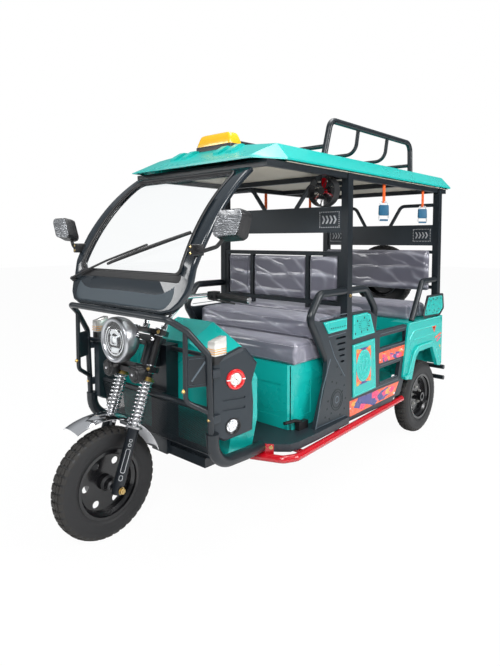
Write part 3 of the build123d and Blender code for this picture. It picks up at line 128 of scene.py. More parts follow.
floor_mesh = bpy.data.meshes.new("studio_floor")
floor_mesh.from_pydata([(-25, -25, 0), (25, -25, 0), (25, 25, 0), (-25, 25, 0)], [], [(0, 1, 2, 3)])
studio_floor = bpy.data.objects.new("studio_floor", floor_mesh)
bpy.context.scene.collection.objects.link(studio_floor)
floor_paint = bpy.data.materials.new("pale_floor")
floor_paint.use_nodes = True
floor_nodes = floor_paint.node_tree.nodes
floor_links = floor_paint.node_tree.links
floor_nodes.clear()
floor_matt = floor_nodes.new("ShaderNodeBsdfDiffuse")
floor_matt.inputs["Color"].default_value = (0.80, 0.80, 0.80, 1)
floor_glow = floor_nodes.new("ShaderNodeEmission")
floor_glow.inputs["Color"].default_value = (1, 1, 1, 1)
floor_share = floor_nodes.new("ShaderNodeMath")
floor_share.operation = "MULTIPLY"
floor_share.inputs[1].default_value = 0.965
floor_mix = floor_nodes.new("ShaderNodeMixShader")
floor_out = floor_nodes.new("ShaderNodeOutputMaterial")
floor_links.new(seen_rays(floor_nodes, floor_links), floor_share.inputs[0])
floor_links.new(floor_share.outputs[0], floor_mix.inputs[0])
floor_links.new(floor_matt.outputs[0], floor_mix.inputs[1])
floor_links.new(floor_glow.outputs[0], floor_mix.inputs[2])
floor_links.new(floor_mix.outputs[0], floor_out.inputs[0])
floor_mesh.materials.append(floor_paint)

# Main frame: ladder rails, guard tubes, pillars, rack and bumper are welded steel tube, powder
# coated in a dark slate. The coat is satin, a little uneven, with fine dust in it.


def new_surface_group():
    """Colour and roughness that drift over a surface, with a fine grain for the bump."""
    group = bpy.data.node_groups.new("Drifting surface", "ShaderNodeTree")
    rows = (
        ("Colour", "NodeSocketColor", (0.5, 0.5, 0.5, 1)), ("Colour drift", "NodeSocketFloat", 0.1),
        ("Patches", "NodeSocketFloat", 6.0), ("Grain", "NodeSocketFloat", 400.0),
        ("Roughness", "NodeSocketFloat", 0.4), ("Roughness drift", "NodeSocketFloat", 0.08),
        ("Dust", "NodeSocketFloat", 0.0),
    )
    for name, kind, value in rows:
        group.interface.new_socket(name=name, in_out="INPUT", socket_type=kind).default_value = value
    for name, kind in (
        ("Colour", "NodeSocketColor"), ("Roughness", "NodeSocketFloat"), ("Height", "NodeSocketFloat"),
    ):
        group.interface.new_socket(name=name, in_out="OUTPUT", socket_type=kind)
    nodes, links = group.nodes, group.links
    given = nodes.new("NodeGroupInput")
    result = nodes.new("NodeGroupOutput")
    spot = nodes.new("ShaderNodeTexCoord")
    patches = nodes.new("ShaderNodeTexNoise")
    patches.inputs["Detail"].default_value = 5
    grain = nodes.new("ShaderNodeTexNoise")
    grain.inputs["Detail"].default_value = 3
    links.new(spot.outputs["Object"], patches.inputs["Vector"])
    links.new(spot.outputs["Object"], grain.inputs["Vector"])
    links.new(given.outputs["Patches"], patches.inputs["Scale"])
    links.new(given.outputs["Grain"], grain.inputs["Scale"])

    def sum_of(kind, a, b):
        """Two sockets or numbers put together by a math node."""
        node = nodes.new("ShaderNodeMath")
        node.operation = kind
        for place, value in ((0, a), (1, b)):
            if isinstance(value, (int, float)):
                node.inputs[place].default_value = value
            else:
                links.new(value, node.inputs[place])
        return node.outputs[0]

    drift = sum_of("SUBTRACT", patches.outputs["Fac"], 0.5)
    value = sum_of("ADD", sum_of("MULTIPLY", drift, given.outputs["Colour drift"]), 1.0)
    tone = nodes.new("ShaderNodeHueSaturation")
    links.new(value, tone.inputs["Value"])
    links.new(given.outputs["Colour"], tone.inputs["Color"])
    # dust settles on what faces up and is thicker near the road
    normal = nodes.new("ShaderNodeNewGeometry")
    split = nodes.new("ShaderNodeSeparateXYZ")
    links.new(normal.outputs["Normal"], split.inputs[0])
    up = nodes.new("ShaderNodeMapRange")
    set_inputs(up, {"From Min": 0.2, "From Max": 1.0})
    links.new(split.outputs["Z"], up.inputs["Value"])
    settled = sum_of(
        "MULTIPLY", sum_of("MULTIPLY", up.outputs[0], grain.outputs["Fac"]), given.outputs["Dust"],
    )
    dusted = nodes.new("ShaderNodeMix")
    dusted.data_type = "RGBA"
    dusted.inputs[7].default_value = (0.42, 0.41, 0.38, 1)
    links.new(settled, dusted.inputs[0])
    links.new(tone.outputs[0], dusted.inputs[6])
    links.new(dusted.outputs[2], result.inputs["Colour"])
    rough = sum_of(
        "ADD", given.outputs["Roughness"], sum_of("MULTIPLY", drift, given.outputs["Roughness drift"]),
    )
    links.new(rough, result.inputs["Roughness"])
    links.new(grain.outputs["Fac"], result.inputs["Height"])
    return group


drifting_surface = new_surface_group()


def finish(
    name, colour, rough, metal=0.0, coat=0.0, drift=0.12, patches=6, grain=500, bump=0.05, dust=0.0,
    change=0.1,
):
    """A solid material whose colour, gloss and grain change over the surface."""
    material = bpy.data.materials.new(name)
    material.use_nodes = True
    nodes, links = material.node_tree.nodes, material.node_tree.links
    shader = nodes["Principled BSDF"]
    surface = nodes.new("ShaderNodeGroup")
    surface.node_tree = drifting_surface
    surface.name = "Surface"
    for socket, value in (
        ("Colour", (*colour, 1)), ("Colour drift", drift), ("Patches", patches), ("Grain", grain),
        ("Roughness", rough), ("Roughness drift", change), ("Dust", dust),
    ):
        surface.inputs[socket].default_value = value
    grained = nodes.new("ShaderNodeBump")
    grained.name = "Grain"
    set_inputs(grained, {"Strength": bump, "Distance": 0.001})
    links.new(surface.outputs["Colour"], shader.inputs["Base Color"])
    links.new(surface.outputs["Roughness"], shader.inputs["Roughness"])
    links.new(surface.outputs["Height"], grained.inputs["Height"])
    links.new(grained.outputs[0], shader.inputs["Normal"])
    set_inputs(shader, {"Metallic": metal, "Coat Weight": coat, "Coat Roughness": 0.08})
    return material


def dress(material, *names):
    """Gives CAD nodes a material."""
    for name in names:
        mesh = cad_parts[name].data
        for i in range(len(mesh.materials)):
            mesh.materials[i] = material


slate_coat = finish(
    "slate_powder_coat", (0.007, 0.011, 0.015), 0.34, drift=0.25, grain=900, bump=0.10, dust=0.015,
)
dress(
    slate_coat, "chassis_frame", "front_guard", "body_frame", "roof_rack", "rear_bumper",
    "backrest_frame",
)

# Wheels: moulded rubber tyres on pressed steel rims, bolted through the hubs. The tread is five
# rows of blocks with zigzag grooves, cut the same all the way round.
FRONT_AXLE = 1268           # millimetres, as all named sizes here: axle ahead of the origin
WHEELBASE = 2272
HALF_TRACK = 444
AXLE_Z = 254                # height of all three axles
BODY_HALF = 505             # side panels' outer face
CROWN = AXLE_Z / 1000       # the tyres' radius in metres
PITCHES = 42                # rows of blocks in one turn of the tread
tread_rubber = finish(
    "tread_rubber", (0.022, 0.020, 0.018), 0.78, drift=0.5, patches=14, grain=700, bump=0.35,
)
sidewall_rubber = finish(
    "sidewall_rubber", (0.008, 0.008, 0.009), 0.52, drift=0.3, patches=9, grain=900, bump=0.15,
)
rim_paint = finish("rim_black_paint", (0.006, 0.006, 0.007), 0.22, coat=0.3, drift=0.2, grain=600, bump=0.05)
dress(rim_paint, "front_rim", "rear_left_rim", "rear_right_rim", "spare_rim")


def at(x, behind, z):
    """A place in metres from its millimetres: x, the distance behind the front axle, and height."""
    return Vector((x / 1000, (behind - FRONT_AXLE) / 1000, z / 1000))


def soften(mesh, angle):
    """Smooth faces with sharp edges where two faces meet at more than the angle."""
    shape = bmesh.new()
    shape.from_mesh(mesh)
    for face in shape.faces:
        face.smooth = True
    for edge in shape.edges:
        edge.smooth = len(edge.link_faces) == 2 and edge.calc_face_angle(0) < radians(angle)
    shape.to_mesh(mesh)
    shape.free()


def piece(name, mesh, materials, body, angle=35, replaced=()):
    """Puts a finished mesh into the scene as a piece of the rickshaw."""
    if not isinstance(materials, (list, tuple)):
        materials = [materials]
    mesh.name = name
    if angle:
        soften(mesh, angle)
    if len(mesh.materials) == 0:
        for material in materials:
            mesh.materials.append(material)
    made = bpy.data.objects.new(name, mesh)
    bpy.context.scene.collection.objects.link(made)
    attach(made, body)
    if replaced:
        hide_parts(*replaced)
    return made


def mesh_of(points, faces):
    """A new mesh from points in metres and faces."""
    mesh = bpy.data.meshes.new("shape")
    mesh.from_pydata([tuple(p) for p in points], [], faces)
    return mesh


def turned(profile, steps=48, closed=True):
    """A mesh turned about the X axis from rows of x and radius."""
    points, faces = [], []
    rows = len(profile)
    for i in range(steps):
        a = 2 * pi * i / steps
        for x, r in profile:
            points.append((x, r * sin(a), r * cos(a)))
    for i in range(steps):
        j = (i + 1) % steps
        for k in range(rows if closed else rows - 1):
            m = (k + 1) % rows
            faces.append((i * rows + k, i * rows + m, j * rows + m, j * rows + k))
    mesh = mesh_of(points, faces)
    tidy_mesh(mesh)
    return mesh


def tidy_mesh(mesh):
    """Merges doubled points and turns the faces outwards."""
    shape = bmesh.new()
    shape.from_mesh(mesh)
    bmesh.ops.remove_doubles(shape, verts=shape.verts, dist=0.00001)
    bmesh.ops.dissolve_degenerate(shape, edges=shape.edges, dist=0.000001)
    bmesh.ops.recalc_face_normals(shape, faces=shape.faces)
    shape.to_mesh(mesh)
    shape.free()


def joined(meshes):
    """One mesh of several, each keeping its own materials."""
    result = bpy.data.meshes.new("joined")
    shape = bmesh.new()
    materials = []
    for mesh in meshes:
        start = len(shape.faces)
        shape.from_mesh(mesh)
        shape.faces.ensure_lookup_table()
        own = list(mesh.materials)
        for face in shape.faces[start:]:
            if own:
                material = own[min(face.material_index, len(own) - 1)]
                if material not in materials:
                    materials.append(material)
                face.material_index = materials.index(material)
    shape.to_mesh(result)
    shape.free()
    for material in materials:
        result.materials.append(material)
    return result


def painted(mesh, material):
    """The mesh with one material all over."""
    mesh.materials.clear()
    mesh.materials.append(material)
    return mesh


def add(meshes, mesh, material):
    """Puts a mesh of one material with the others of its piece."""
    meshes.append(painted(mesh, material))


def moved(mesh, matrix):
    """The mesh put where the matrix says."""
    mesh.transform(matrix)
    return mesh


def crown_at(x):
    """Radius of the tread's top at a distance from the tyre's middle."""
    rows = ((0.0, 0.254), (0.018, 0.254), (0.0355, 0.247), (0.0445, 0.232), (0.0485, 0.21))
    for (x0, r0), (x1, r1) in zip(rows, rows[1:]):
        if abs(x) <= x1:
            return r0 + (r1 - r0) * (abs(x) - x0) / (x1 - x0)
    return 0.21


def tread_pitch(depth):
    """One pitch of the tread: a middle block, two beside it and two on the shoulders."""
    half = pi * CROWN / PITCHES
    outlines = [
        [
            (-9, -half * 820), (0, -half * 980), (9, -half * 820), (12, 0), (8, half * 760),
            (0, half * 600), (-8, half * 760), (-12, 0),
        ]
    ]
    for side in (-1, 1):
        outlines.append(
            [
                (side * 14, -half * 560), (side * 24, -half * 900), (side * 29, -half * 300),
                (side * 26, half * 620), (side * 17, half * 880), (side * 12.5, half * 200),
            ]
        )
        outlines.append(
            [
                (side * 32, -half * 820), (side * 44, -half * 700), (side * 44.3, half * 560),
                (side * 30, half * 760), (side * 33, half * 0),
            ]
        )
    points, faces = [], []
    for outline in outlines:
        base = len(points)
        count = len(outline)
        middle_x = sum(x for x, _ in outline) / count
        middle_t = sum(t for _, t in outline) / count
        for share, lift in ((1.0, -depth), (0.98, -0.0012), (0.88, 0.0)):
            for x, t in outline:
                x_mm = middle_x + (x - middle_x) * share
                angle = (middle_t + (t - middle_t) * share) / 1000 / CROWN
                r = crown_at(x_mm / 1000) + lift
                points.append((x_mm / 1000, r * sin(angle), r * cos(angle)))
        for ring in range(2):
            for k in range(count):
                m = (k + 1) % count
                low, high = base + ring * count, base + (ring + 1) * count
                faces.append((low + k, low + m, high + m, high + k))
        faces.append(tuple(base + 2 * count + k for k in range(count)))
    mesh = mesh_of(points, faces)
    tidy_mesh(mesh)
    return mesh


def held(mesh):
    """A hidden holder for a mesh that a node tree copies."""
    return bpy.data.objects.new("unit", mesh)


def grown(tree, values, start=None):
    """Runs a geometry node tree and gives back the plain mesh that it makes."""
    host_mesh = start or bpy.data.meshes.new("host")
    host = bpy.data.objects.new("host", host_mesh)
    bpy.context.scene.collection.objects.link(host)
    modifier = host.modifiers.new("tree", "NODES")
    modifier.node_group = tree
    for item in tree.interface.items_tree:
        if item.item_type == "SOCKET" and item.in_out == "INPUT" and item.name in values:
            modifier[item.identifier] = values[item.name]
    bpy.context.view_layer.update()
    result = bpy.data.meshes.new_from_object(host.evaluated_get(bpy.context.evaluated_depsgraph_get()))
    host.modifiers.remove(modifier)
    bpy.data.objects.remove(host)
    return result


def new_tree(name, sockets):
    """A geometry node tree with named inputs, and its input and output nodes."""
    tree = bpy.data.node_groups.new(name, "GeometryNodeTree")
    tree.interface.new_socket(name="Geometry", in_out="OUTPUT", socket_type="NodeSocketGeometry")
    for socket, kind in sockets:
        tree.interface.new_socket(name=socket, in_out="INPUT", socket_type=kind)
    return tree, tree.nodes.new("NodeGroupInput"), tree.nodes.new("NodeGroupOutput")


def end_tree(tree, given, result, geometry):
    """Ends a tree in Realize Instances and Set Material."""
    real = tree.nodes.new("GeometryNodeRealizeInstances")
    paint = tree.nodes.new("GeometryNodeSetMaterial")
    tree.links.new(geometry, real.inputs[0])
    tree.links.new(real.outputs[0], paint.inputs["Geometry"])
    tree.links.new(given.outputs["Finish"], paint.inputs["Material"])
    tree.links.new(paint.outputs[0], result.inputs["Geometry"])


def new_ring_tree():
    """Copies of one unit turned evenly round the X axis."""
    tree, given, result = new_tree(
        "Ring of units",
        (("Count", "NodeSocketInt"), ("Unit", "NodeSocketObject"), ("Finish", "NodeSocketMaterial"))
    )
    nodes, links = tree.nodes, tree.links
    row = nodes.new("GeometryNodeMeshLine")
    row.inputs["Offset"].default_value = (0, 0, 0)
    links.new(given.outputs["Count"], row.inputs["Count"])
    index = nodes.new("GeometryNodeInputIndex")
    share = nodes.new("ShaderNodeMath")
    share.operation = "DIVIDE"
    links.new(index.outputs[0], share.inputs[0])
    links.new(given.outputs["Count"], share.inputs[1])
    whole = nodes.new("ShaderNodeMath")
    whole.operation = "MULTIPLY"
    whole.inputs[1].default_value = 2 * pi
    links.new(share.outputs[0], whole.inputs[0])
    turn = nodes.new("ShaderNodeCombineXYZ")
    links.new(whole.outputs[0], turn.inputs["X"])
    unit = nodes.new("GeometryNodeObjectInfo")
    links.new(given.outputs["Unit"], unit.inputs["Object"])
    copies = nodes.new("GeometryNodeInstanceOnPoints")
    links.new(row.outputs[0], copies.inputs["Points"])
    links.new(unit.outputs["Geometry"], copies.inputs["Instance"])
    links.new(turn.outputs[0], copies.inputs["Rotation"])
    end_tree(tree, given, result, copies.outputs[0])
    return tree


ring_tree = new_ring_tree()
tread_unit = held(tread_pitch(0.0075))
tread_ring = grown(ring_tree, {"Count": PITCHES, "Unit": tread_unit, "Finish": tread_rubber})
carcass_rows = [
    (0.037, 0.1502), (0.0395, 0.158), (0.0385, 0.1615), (0.0435, 0.171), (0.046, 0.176),
    (0.0455, 0.179), (0.0478, 0.192),
    (0.0484, 0.205), (0.0474, 0.216), (0.0458, 0.2225), (0.0452, 0.2255), (0.0432, 0.2325), (0.038, 0.2405),
    (0.028, 0.2455),
    (0.014, 0.2472), (0.0, 0.2475),
]
carcass = turned(carcass_rows + [(-x, r) for x, r in reversed(carcass_rows[:-1])], 96)
painted(carcass, sidewall_rubber)
soften(carcass, 50)
soften(tread_ring, 20)
tyre_mesh = joined([carcass, tread_ring])
quarter = Matrix.Rotation(radians(90), 4, "Z")
for node, body, place in (
    ("front_tyre", "front_wheel", Matrix.Translation(at(0, 0, AXLE_Z))),
    ("rear_left_tyre", "rear_left_wheel", Matrix.Translation(at(HALF_TRACK, WHEELBASE, AXLE_Z))),
    ("rear_right_tyre", "rear_right_wheel", Matrix.Translation(at(-HALF_TRACK, WHEELBASE, AXLE_Z))),
    ("spare_tyre", "chassis", Matrix.Translation(at(0, 2604, 1074)) @ quarter),
):
    piece(node + "_tread", moved(tyre_mesh.copy(), place), [], body, angle=0, replaced=(node,))

# Hubs: a grey cast hub cap on the front wheel with the axle's brass nuts in the fork, and five
# wheel nuts on each rear wheel.
cast_grey = finish("cast_hub_grey", (0.06, 0.06, 0.062), 0.5, metal=0.6, drift=0.3, grain=350, bump=0.3)
zinc = finish("zinc_plated_steel", (0.45, 0.44, 0.42), 0.3, metal=1.0, drift=0.25, grain=250, bump=0.1)
brass = finish("passivated_brass", (0.55, 0.40, 0.17), 0.28, metal=1.0, drift=0.35, grain=250, bump=0.1)
hub_cap_rows = [
    (0.030, 0.0), (0.030, 0.012), (0.064, 0.0125), (0.066, 0.019), (0.060, 0.0245), (0.040, 0.0265),
    (0.030, 0.034), (0.020, 0.036), (0.020, 0.0),
]


def hex_nut(across, height, washer):
    """A hexagon nut on a washer, standing on the Z axis, about ten dozen faces."""
    points, faces = [], []

    def disc(rows, steps):
        """A closed stack of rings, from rows of radius and height."""
        base = len(points)
        for r, z in rows:
            for i in range(steps):
                a = 2 * pi * i / steps
                points.append((r * cos(a), r * sin(a), z))
        for ring in range(len(rows) - 1):
            for i in range(steps):
                j = (i + 1) % steps
                low, high = base + ring * steps, base + (ring + 1) * steps
                faces.append((low + i, low + j, high + j, high + i))
        faces.append(tuple(base + (len(rows) - 1) * steps + i for i in range(steps)))

    disc([(washer, -0.001), (washer, 0.0012), (washer * 0.93, 0.0017)], 16)
    disc([(across / 1.732, 0.001), (across / 1.732, height * 0.86), (across / 1.95, height)], 6)
    disc([(across * 0.26, height * 0.9), (across * 0.26, height * 1.18), (across * 0.2, height * 1.28)], 10)
    mesh = mesh_of(points, faces)
    tidy_mesh(mesh)
    return mesh


def new_fixings_tree():
    """One unit stood on each point, its Z axis along the point's own direction."""
    tree, given, result = new_tree(
        "Fixings",
        (("Places", "NodeSocketGeometry"), ("Unit", "NodeSocketObject"), ("Finish", "NodeSocketMaterial")),
    )
    nodes, links = tree.nodes, tree.links
    facing = nodes.new("GeometryNodeInputNamedAttribute")
    facing.data_type = "FLOAT_VECTOR"
    facing.inputs["Name"].default_value = "facing"
    aim = nodes.new("FunctionNodeAlignRotationToVector")
    aim.axis = "Z"
    links.new(facing.outputs[0], aim.inputs["Vector"])
    unit = nodes.new("GeometryNodeObjectInfo")
    links.new(given.outputs["Unit"], unit.inputs["Object"])
    copies = nodes.new("GeometryNodeInstanceOnPoints")
    links.new(given.outputs["Places"], copies.inputs["Points"])
    links.new(unit.outputs["Geometry"], copies.inputs["Instance"])
    links.new(aim.outputs[0], copies.inputs["Rotation"])
    end_tree(tree, given, result, copies.outputs[0])
    return tree


fixings_tree = new_fixings_tree()


def fixings(name, unit, places, material, body):
    """Bolts or nuts at places given as (point, direction), as one piece."""
    start = mesh_of([p for p, _ in places], [])
    aims = start.attributes.new("facing", "FLOAT_VECTOR", "POINT")
    for i, (_, direction) in enumerate(places):
        aims.data[i].vector = Vector(direction).normalized()
    mesh = grown(fixings_tree, {"Unit": unit, "Finish": material}, start)
    return piece(name, mesh, material, body, angle=30)


big_nut = held(hex_nut(0.018, 0.011, 0.013))
small_bolt = held(hex_nut(0.012, 0.007, 0.010))
hub_cap = moved(turned(hub_cap_rows, 32, closed=False), Matrix.Translation(at(0, 0, AXLE_Z)))
piece("front_hub_cap", painted(hub_cap, cast_grey), cast_grey, "front_wheel")
axle_ends = [(at(side * 132, 0, AXLE_Z), (side, 0, 0)) for side in (1, -1)]
fixings("front_axle_nuts", held(hex_nut(0.024, 0.013, 0.016)), axle_ends, brass, "steering")
for node, side in (("rear_left", 1), ("rear_right", -1)):
    spots = []
    for i in range(5):
        a = 2 * pi * i / 5
        spots.append(
            (at(side * (HALF_TRACK + 3.2), WHEELBASE + 62 * sin(a), AXLE_Z + 62 * cos(a)), (side, 0, 0))
        )
    fixings(node + "_wheel_nuts", big_nut, spots, zinc, node + "_wheel")

# Bodywork: gloss moulded plastic and pressed sheet in teal, with satin slate mouldings. The gloss
# has a faint orange peel and the slate a fine spark grain.
teal_gloss = finish(
    "teal_gloss_moulding", (0.004, 0.405, 0.365), 0.28, coat=0.12, drift=0.10, patches=3, grain=120,
    bump=0.08, dust=0.01,
)
slate_moulding = finish(
    "slate_moulding", (0.014, 0.021, 0.028), 0.42, drift=0.2, patches=5, grain=1100, bump=0.18, dust=0.015,
)
slate_gloss = finish(
    "slate_screen_panel", (0.026, 0.042, 0.055), 0.50, coat=0.0, drift=0.15, patches=3, grain=900,
    bump=0.08, dust=0.01,
)
black_plastic = finish("black_moulding", (0.010, 0.010, 0.011), 0.42, drift=0.3, grain=900, bump=0.25)
cream_sheet = finish(
    "cream_lining_sheet", (0.50, 0.46, 0.38), 0.55, drift=0.12, patches=2, grain=400, bump=0.15,
)
red_gloss = finish("red_gloss_paint", (0.46, 0.002, 0.010), 0.20, coat=0.5, drift=0.15, grain=200, bump=0.05)
spring_paint = finish(
    "black_underbody_paint", (0.012, 0.012, 0.013), 0.55, drift=0.4, patches=18, grain=500, bump=0.4,
    dust=0.08,
)
motor_paint = finish(
    "cast_motor_paint", (0.05, 0.052, 0.055), 0.5, metal=0.4, drift=0.4, patches=16, grain=420, bump=0.5,
    dust=0.08,
)
chrome_plate = finish(
    "chrome_plate", (0.78, 0.78, 0.80), 0.10, metal=1.0, drift=0.06, patches=5, grain=60, bump=0.02,
    change=0.06,
)
dress(teal_gloss, "cowl", "roof_shell", "driver_seat_box", "bench_box", "side_inserts", "rear_body")
dress(slate_moulding, "corner_pods", "fascias", "floor_pan", "side_panels")
dress(slate_gloss, "windscreen_frame")
dress(black_plastic, "wiper", "fan_guard", "parking_brake", "battery_pack", "horns", "mirrors")
dress(cream_sheet, "roof_lining")
dress(red_gloss, "side_steps", "fan_rotor")
dress(spring_paint, "leaf_springs", "rear_axle")
dress(motor_paint, "drive_motor")
dress(chrome_plate, "front_fender", "fork_springs", "headlamp")

# Windscreen: one clear pane bent to the roof, in a black rubber seal that grips its edge.
clear_glass = bpy.data.materials.new("windscreen_glass_clear")
clear_glass.use_nodes = True
glass_shader = clear_glass.node_tree.nodes["Principled BSDF"]
set_inputs(
    glass_shader,
    {
        "Base Color": (0.97, 0.985, 0.99, 1), "Roughness": 0.02, "Transmission Weight": 1.0, "IOR": 1.02,
        "Coat Weight": 0.25,
    },
)
dress(clear_glass, "windscreen_glass")

# Fork: satin dark sleeves below, polished rods inside the springs, a gold collar under each
# black upper cover. The finish changes along the leg, measured from the wheel's axle.
RAKE = radians(20)
LEG_X = 100


def fork_spot(x, ahead, s):
    """A place on the fork: sideways, in front of the legs, and up along them from the axle."""
    return at(x, s * sin(RAKE) - ahead * cos(RAKE), AXLE_Z + s * cos(RAKE) + ahead * sin(RAKE))


def fork_matrix(x, ahead, s):
    """A frame on the fork with Z up along the leg and X to the vehicle's left."""
    up = Vector((0, sin(RAKE), cos(RAKE)))
    left = Vector((1, 0, 0))
    matrix = Matrix((left, up.cross(left), up)).transposed().to_4x4()
    matrix.translation = fork_spot(x, ahead, s)
    return matrix


def ramp_node(nodes, rows, kind="CONSTANT"):
    """A colour ramp from rows of place and colour."""
    node = nodes.new("ShaderNodeValToRGB")
    node.color_ramp.interpolation = kind
    while len(node.color_ramp.elements) < len(rows):
        node.color_ramp.elements.new(0.5)
    for element, (place, colour) in zip(node.color_ramp.elements, rows):
        element.position = place
        element.color = (*colour, 1) if len(colour) == 3 else (colour[0], colour[0], colour[0], 1)
    return node


fork_finish = finish("fork_leg_finishes", (0.01, 0.01, 0.01), 0.3, drift=0.2, grain=700, bump=0.06)
fork_nodes, fork_links = fork_finish.node_tree.nodes, fork_finish.node_tree.links
fork_place = fork_nodes.new("ShaderNodeTexCoord")
fork_up = fork_nodes.new("ShaderNodeVectorMath")
fork_up.operation = "DOT_PRODUCT"
fork_up.inputs[1].default_value = (0, sin(RAKE), cos(RAKE))
fork_links.new(fork_place.outputs["Object"], fork_up.inputs[0])
axle_up = fork_spot(0, 0, 0).dot(Vector((0, sin(RAKE), cos(RAKE))))
fork_scale = fork_nodes.new("ShaderNodeMapRange")
set_inputs(fork_scale, {"From Min": axle_up, "From Max": axle_up + 0.8})
fork_links.new(fork_up.outputs["Value"], fork_scale.inputs["Value"])
sleeve, black = (0.010, 0.013, 0.017), (0.006, 0.006, 0.007)
polished, gold = (0.62, 0.62, 0.63), (0.55, 0.38, 0.12)
fork_colours = ramp_node(fork_nodes, (
    (0.0, sleeve), (0.335, polished), (0.349, polished), (0.607, gold), (0.631, black), (0.66, black),
))
fork_metals = ramp_node(fork_nodes, ((0.0, (0.2,)), (0.335, (1.0,)), (0.631, (0.0,))))
for ramp in (fork_colours, fork_metals):
    fork_links.new(fork_scale.outputs[0], ramp.inputs["Fac"])
fork_links.new(fork_colours.outputs[0], fork_nodes["Surface"].inputs["Colour"])
fork_links.new(fork_metals.outputs[0], fork_nodes["Principled BSDF"].inputs["Metallic"])
dress(fork_finish, "fork")


def rounded_path(points, radius, steps=6):
    """Straight runs between the points, each corner rounded by an arc."""
    points = [Vector(p) for p in points]
    path = [points[0]]
    for before, corner, after in zip(points, points[1:], points[2:]):
        a, b = (before - corner).normalized(), (after - corner).normalized()
        half = a.angle(b) / 2
        reach = min(radius / tan(half), (before - corner).length * 0.49, (after - corner).length * 0.49)
        middle = corner + (a + b).normalized() * (reach / cos(half))
        start, end = corner + a * reach - middle, corner + b * reach - middle
        for i in range(steps + 1):
            path.append(middle + start.lerp(end, i / steps).normalized() * start.length)
    path.append(points[-1])
    return path


def pipe(path, radius, steps=12, flat=1.0, closed=False, side=(0, 0, 1)):
    """A round or flattened bar along a path, with ends closed."""
    path = [Vector(p) for p in path]
    count = len(path)
    points, faces = [], []
    for i, p in enumerate(path):
        if closed:
            ahead = path[(i + 1) % count] - path[i - 1]
        else:
            ahead = path[min(i + 1, count - 1)] - path[max(i - 1, 0)]
        ahead.normalize()
        over = Vector(side) - ahead * Vector(side).dot(ahead)
        if over.length < 0.01:
            over = Vector((0, 1, 0)) - ahead * ahead.y
        over.normalize()
        across = ahead.cross(over)
        r = radius[i] if isinstance(radius, (list, tuple)) else radius
        for k in range(steps):
            a = 2 * pi * k / steps
            points.append(p + across * (r * cos(a)) + over * (r * flat * sin(a)))
    for i in range(count if closed else count - 1):
        j = (i + 1) % count
        for k in range(steps):
            m = (k + 1) % steps
            faces.append((i * steps + k, i * steps + m, j * steps + m, j * steps + k))
    if not closed:
        faces.append(tuple(range(steps)))
        faces.append(tuple((count - 1) * steps + k for k in range(steps)))
    mesh = mesh_of(points, faces)
    tidy_mesh(mesh)
    return mesh


def plate(outline, place, low, high, bevel=0.4, segments=2):
    """A plate in millimetres: its outline in the place's X and Y, its faces at two heights."""
    count = len(outline)
    points = [(u / 1000, v / 1000, low / 1000) for u, v in outline]
    points += [(u / 1000, v / 1000, high / 1000) for u, v in outline]
    faces = [tuple(range(count)), tuple(range(count, 2 * count))]
    faces += [(i, (i + 1) % count, count + (i + 1) % count, count + i) for i in range(count)]
    mesh = mesh_of(points, faces)
    shape = bmesh.new()
    shape.from_mesh(mesh)
    bmesh.ops.recalc_face_normals(shape, faces=shape.faces)
    if bevel:
        shape.edges.ensure_lookup_table()
        rim = [e for e in shape.edges if min(v.co.z for v in e.verts) > (low + high) / 2000]
        bmesh.ops.bevel(
            shape, geom=rim, offset=bevel / 1000, segments=segments, profile=0.5, affect="EDGES",
            clamp_overlap=True,
        )
    bmesh.ops.triangulate(shape, faces=[f for f in shape.faces if len(f.verts) > 4])
    shape.to_mesh(mesh)
    shape.free()
    mesh.transform(place)
    tidy_mesh(mesh)
    return mesh


def frame_at(origin, u, v, w):
    """A placing matrix from an origin and the directions of its X, Y and Z."""
    matrix = Matrix((Vector(u), Vector(v), Vector(w))).transposed().to_4x4()
    matrix.translation = Vector(origin)
    return matrix


def round_outline(middle, radius, steps=32, start=0.0, share=1.0):
    """Points round a circle, or round the share of it that begins at start, in turns."""
    u, v = middle
    turns = [2 * pi * (start + share * i / steps) for i in range(steps)]
    return [(u + radius * cos(a), v + radius * sin(a)) for a in turns]


def soft_outline(outline, radius, steps=5):
    """An outline with its corners rounded."""
    count = len(outline)
    result = []
    for i, corner in enumerate(outline):
        corner = Vector(corner)
        a = (Vector(outline[i - 1]) - corner)
        b = (Vector(outline[(i + 1) % count]) - corner)
        half = a.angle(b) / 2
        reach = min(radius / tan(half), a.length * 0.45, b.length * 0.45)
        r = reach * tan(half)
        middle = corner + (a.normalized() + b.normalized()).normalized() * hypot(reach, r)
        start, end = corner + a.normalized() * reach - middle, corner + b.normalized() * reach - middle
        for k in range(steps + 1):
            spoke = start.lerp(end, k / steps).normalized() * r
            result.append(tuple(middle + spoke))
    return result


def ring_band(inner, outer, place, low, high, bevel=0.4):
    """A raised band between two outlines with the same number of points."""
    count = len(inner)
    points, faces = [], []
    rise = (low, high - bevel, high, high, high - bevel, low)
    for share, z in zip((0, 0, bevel, 1, 1, 1), rise):
        for i in range(count):
            a, b = Vector(outer[i]), Vector(inner[i])
            if share == bevel:
                p = a + (b - a).normalized() * bevel
            elif z == high:
                p = b + (a - b).normalized() * bevel
            else:
                p = a if share == 0 else b
            points.append((p.x / 1000, p.y / 1000, z / 1000))
    rows = 6
    for row in range(rows):
        other = (row + 1) % rows
        for i in range(count):
            j = (i + 1) % count
            faces.append((row * count + i, row * count + j, other * count + j, other * count + i))
    mesh = mesh_of(points, faces)
    mesh.transform(place)
    tidy_mesh(mesh)
    return mesh


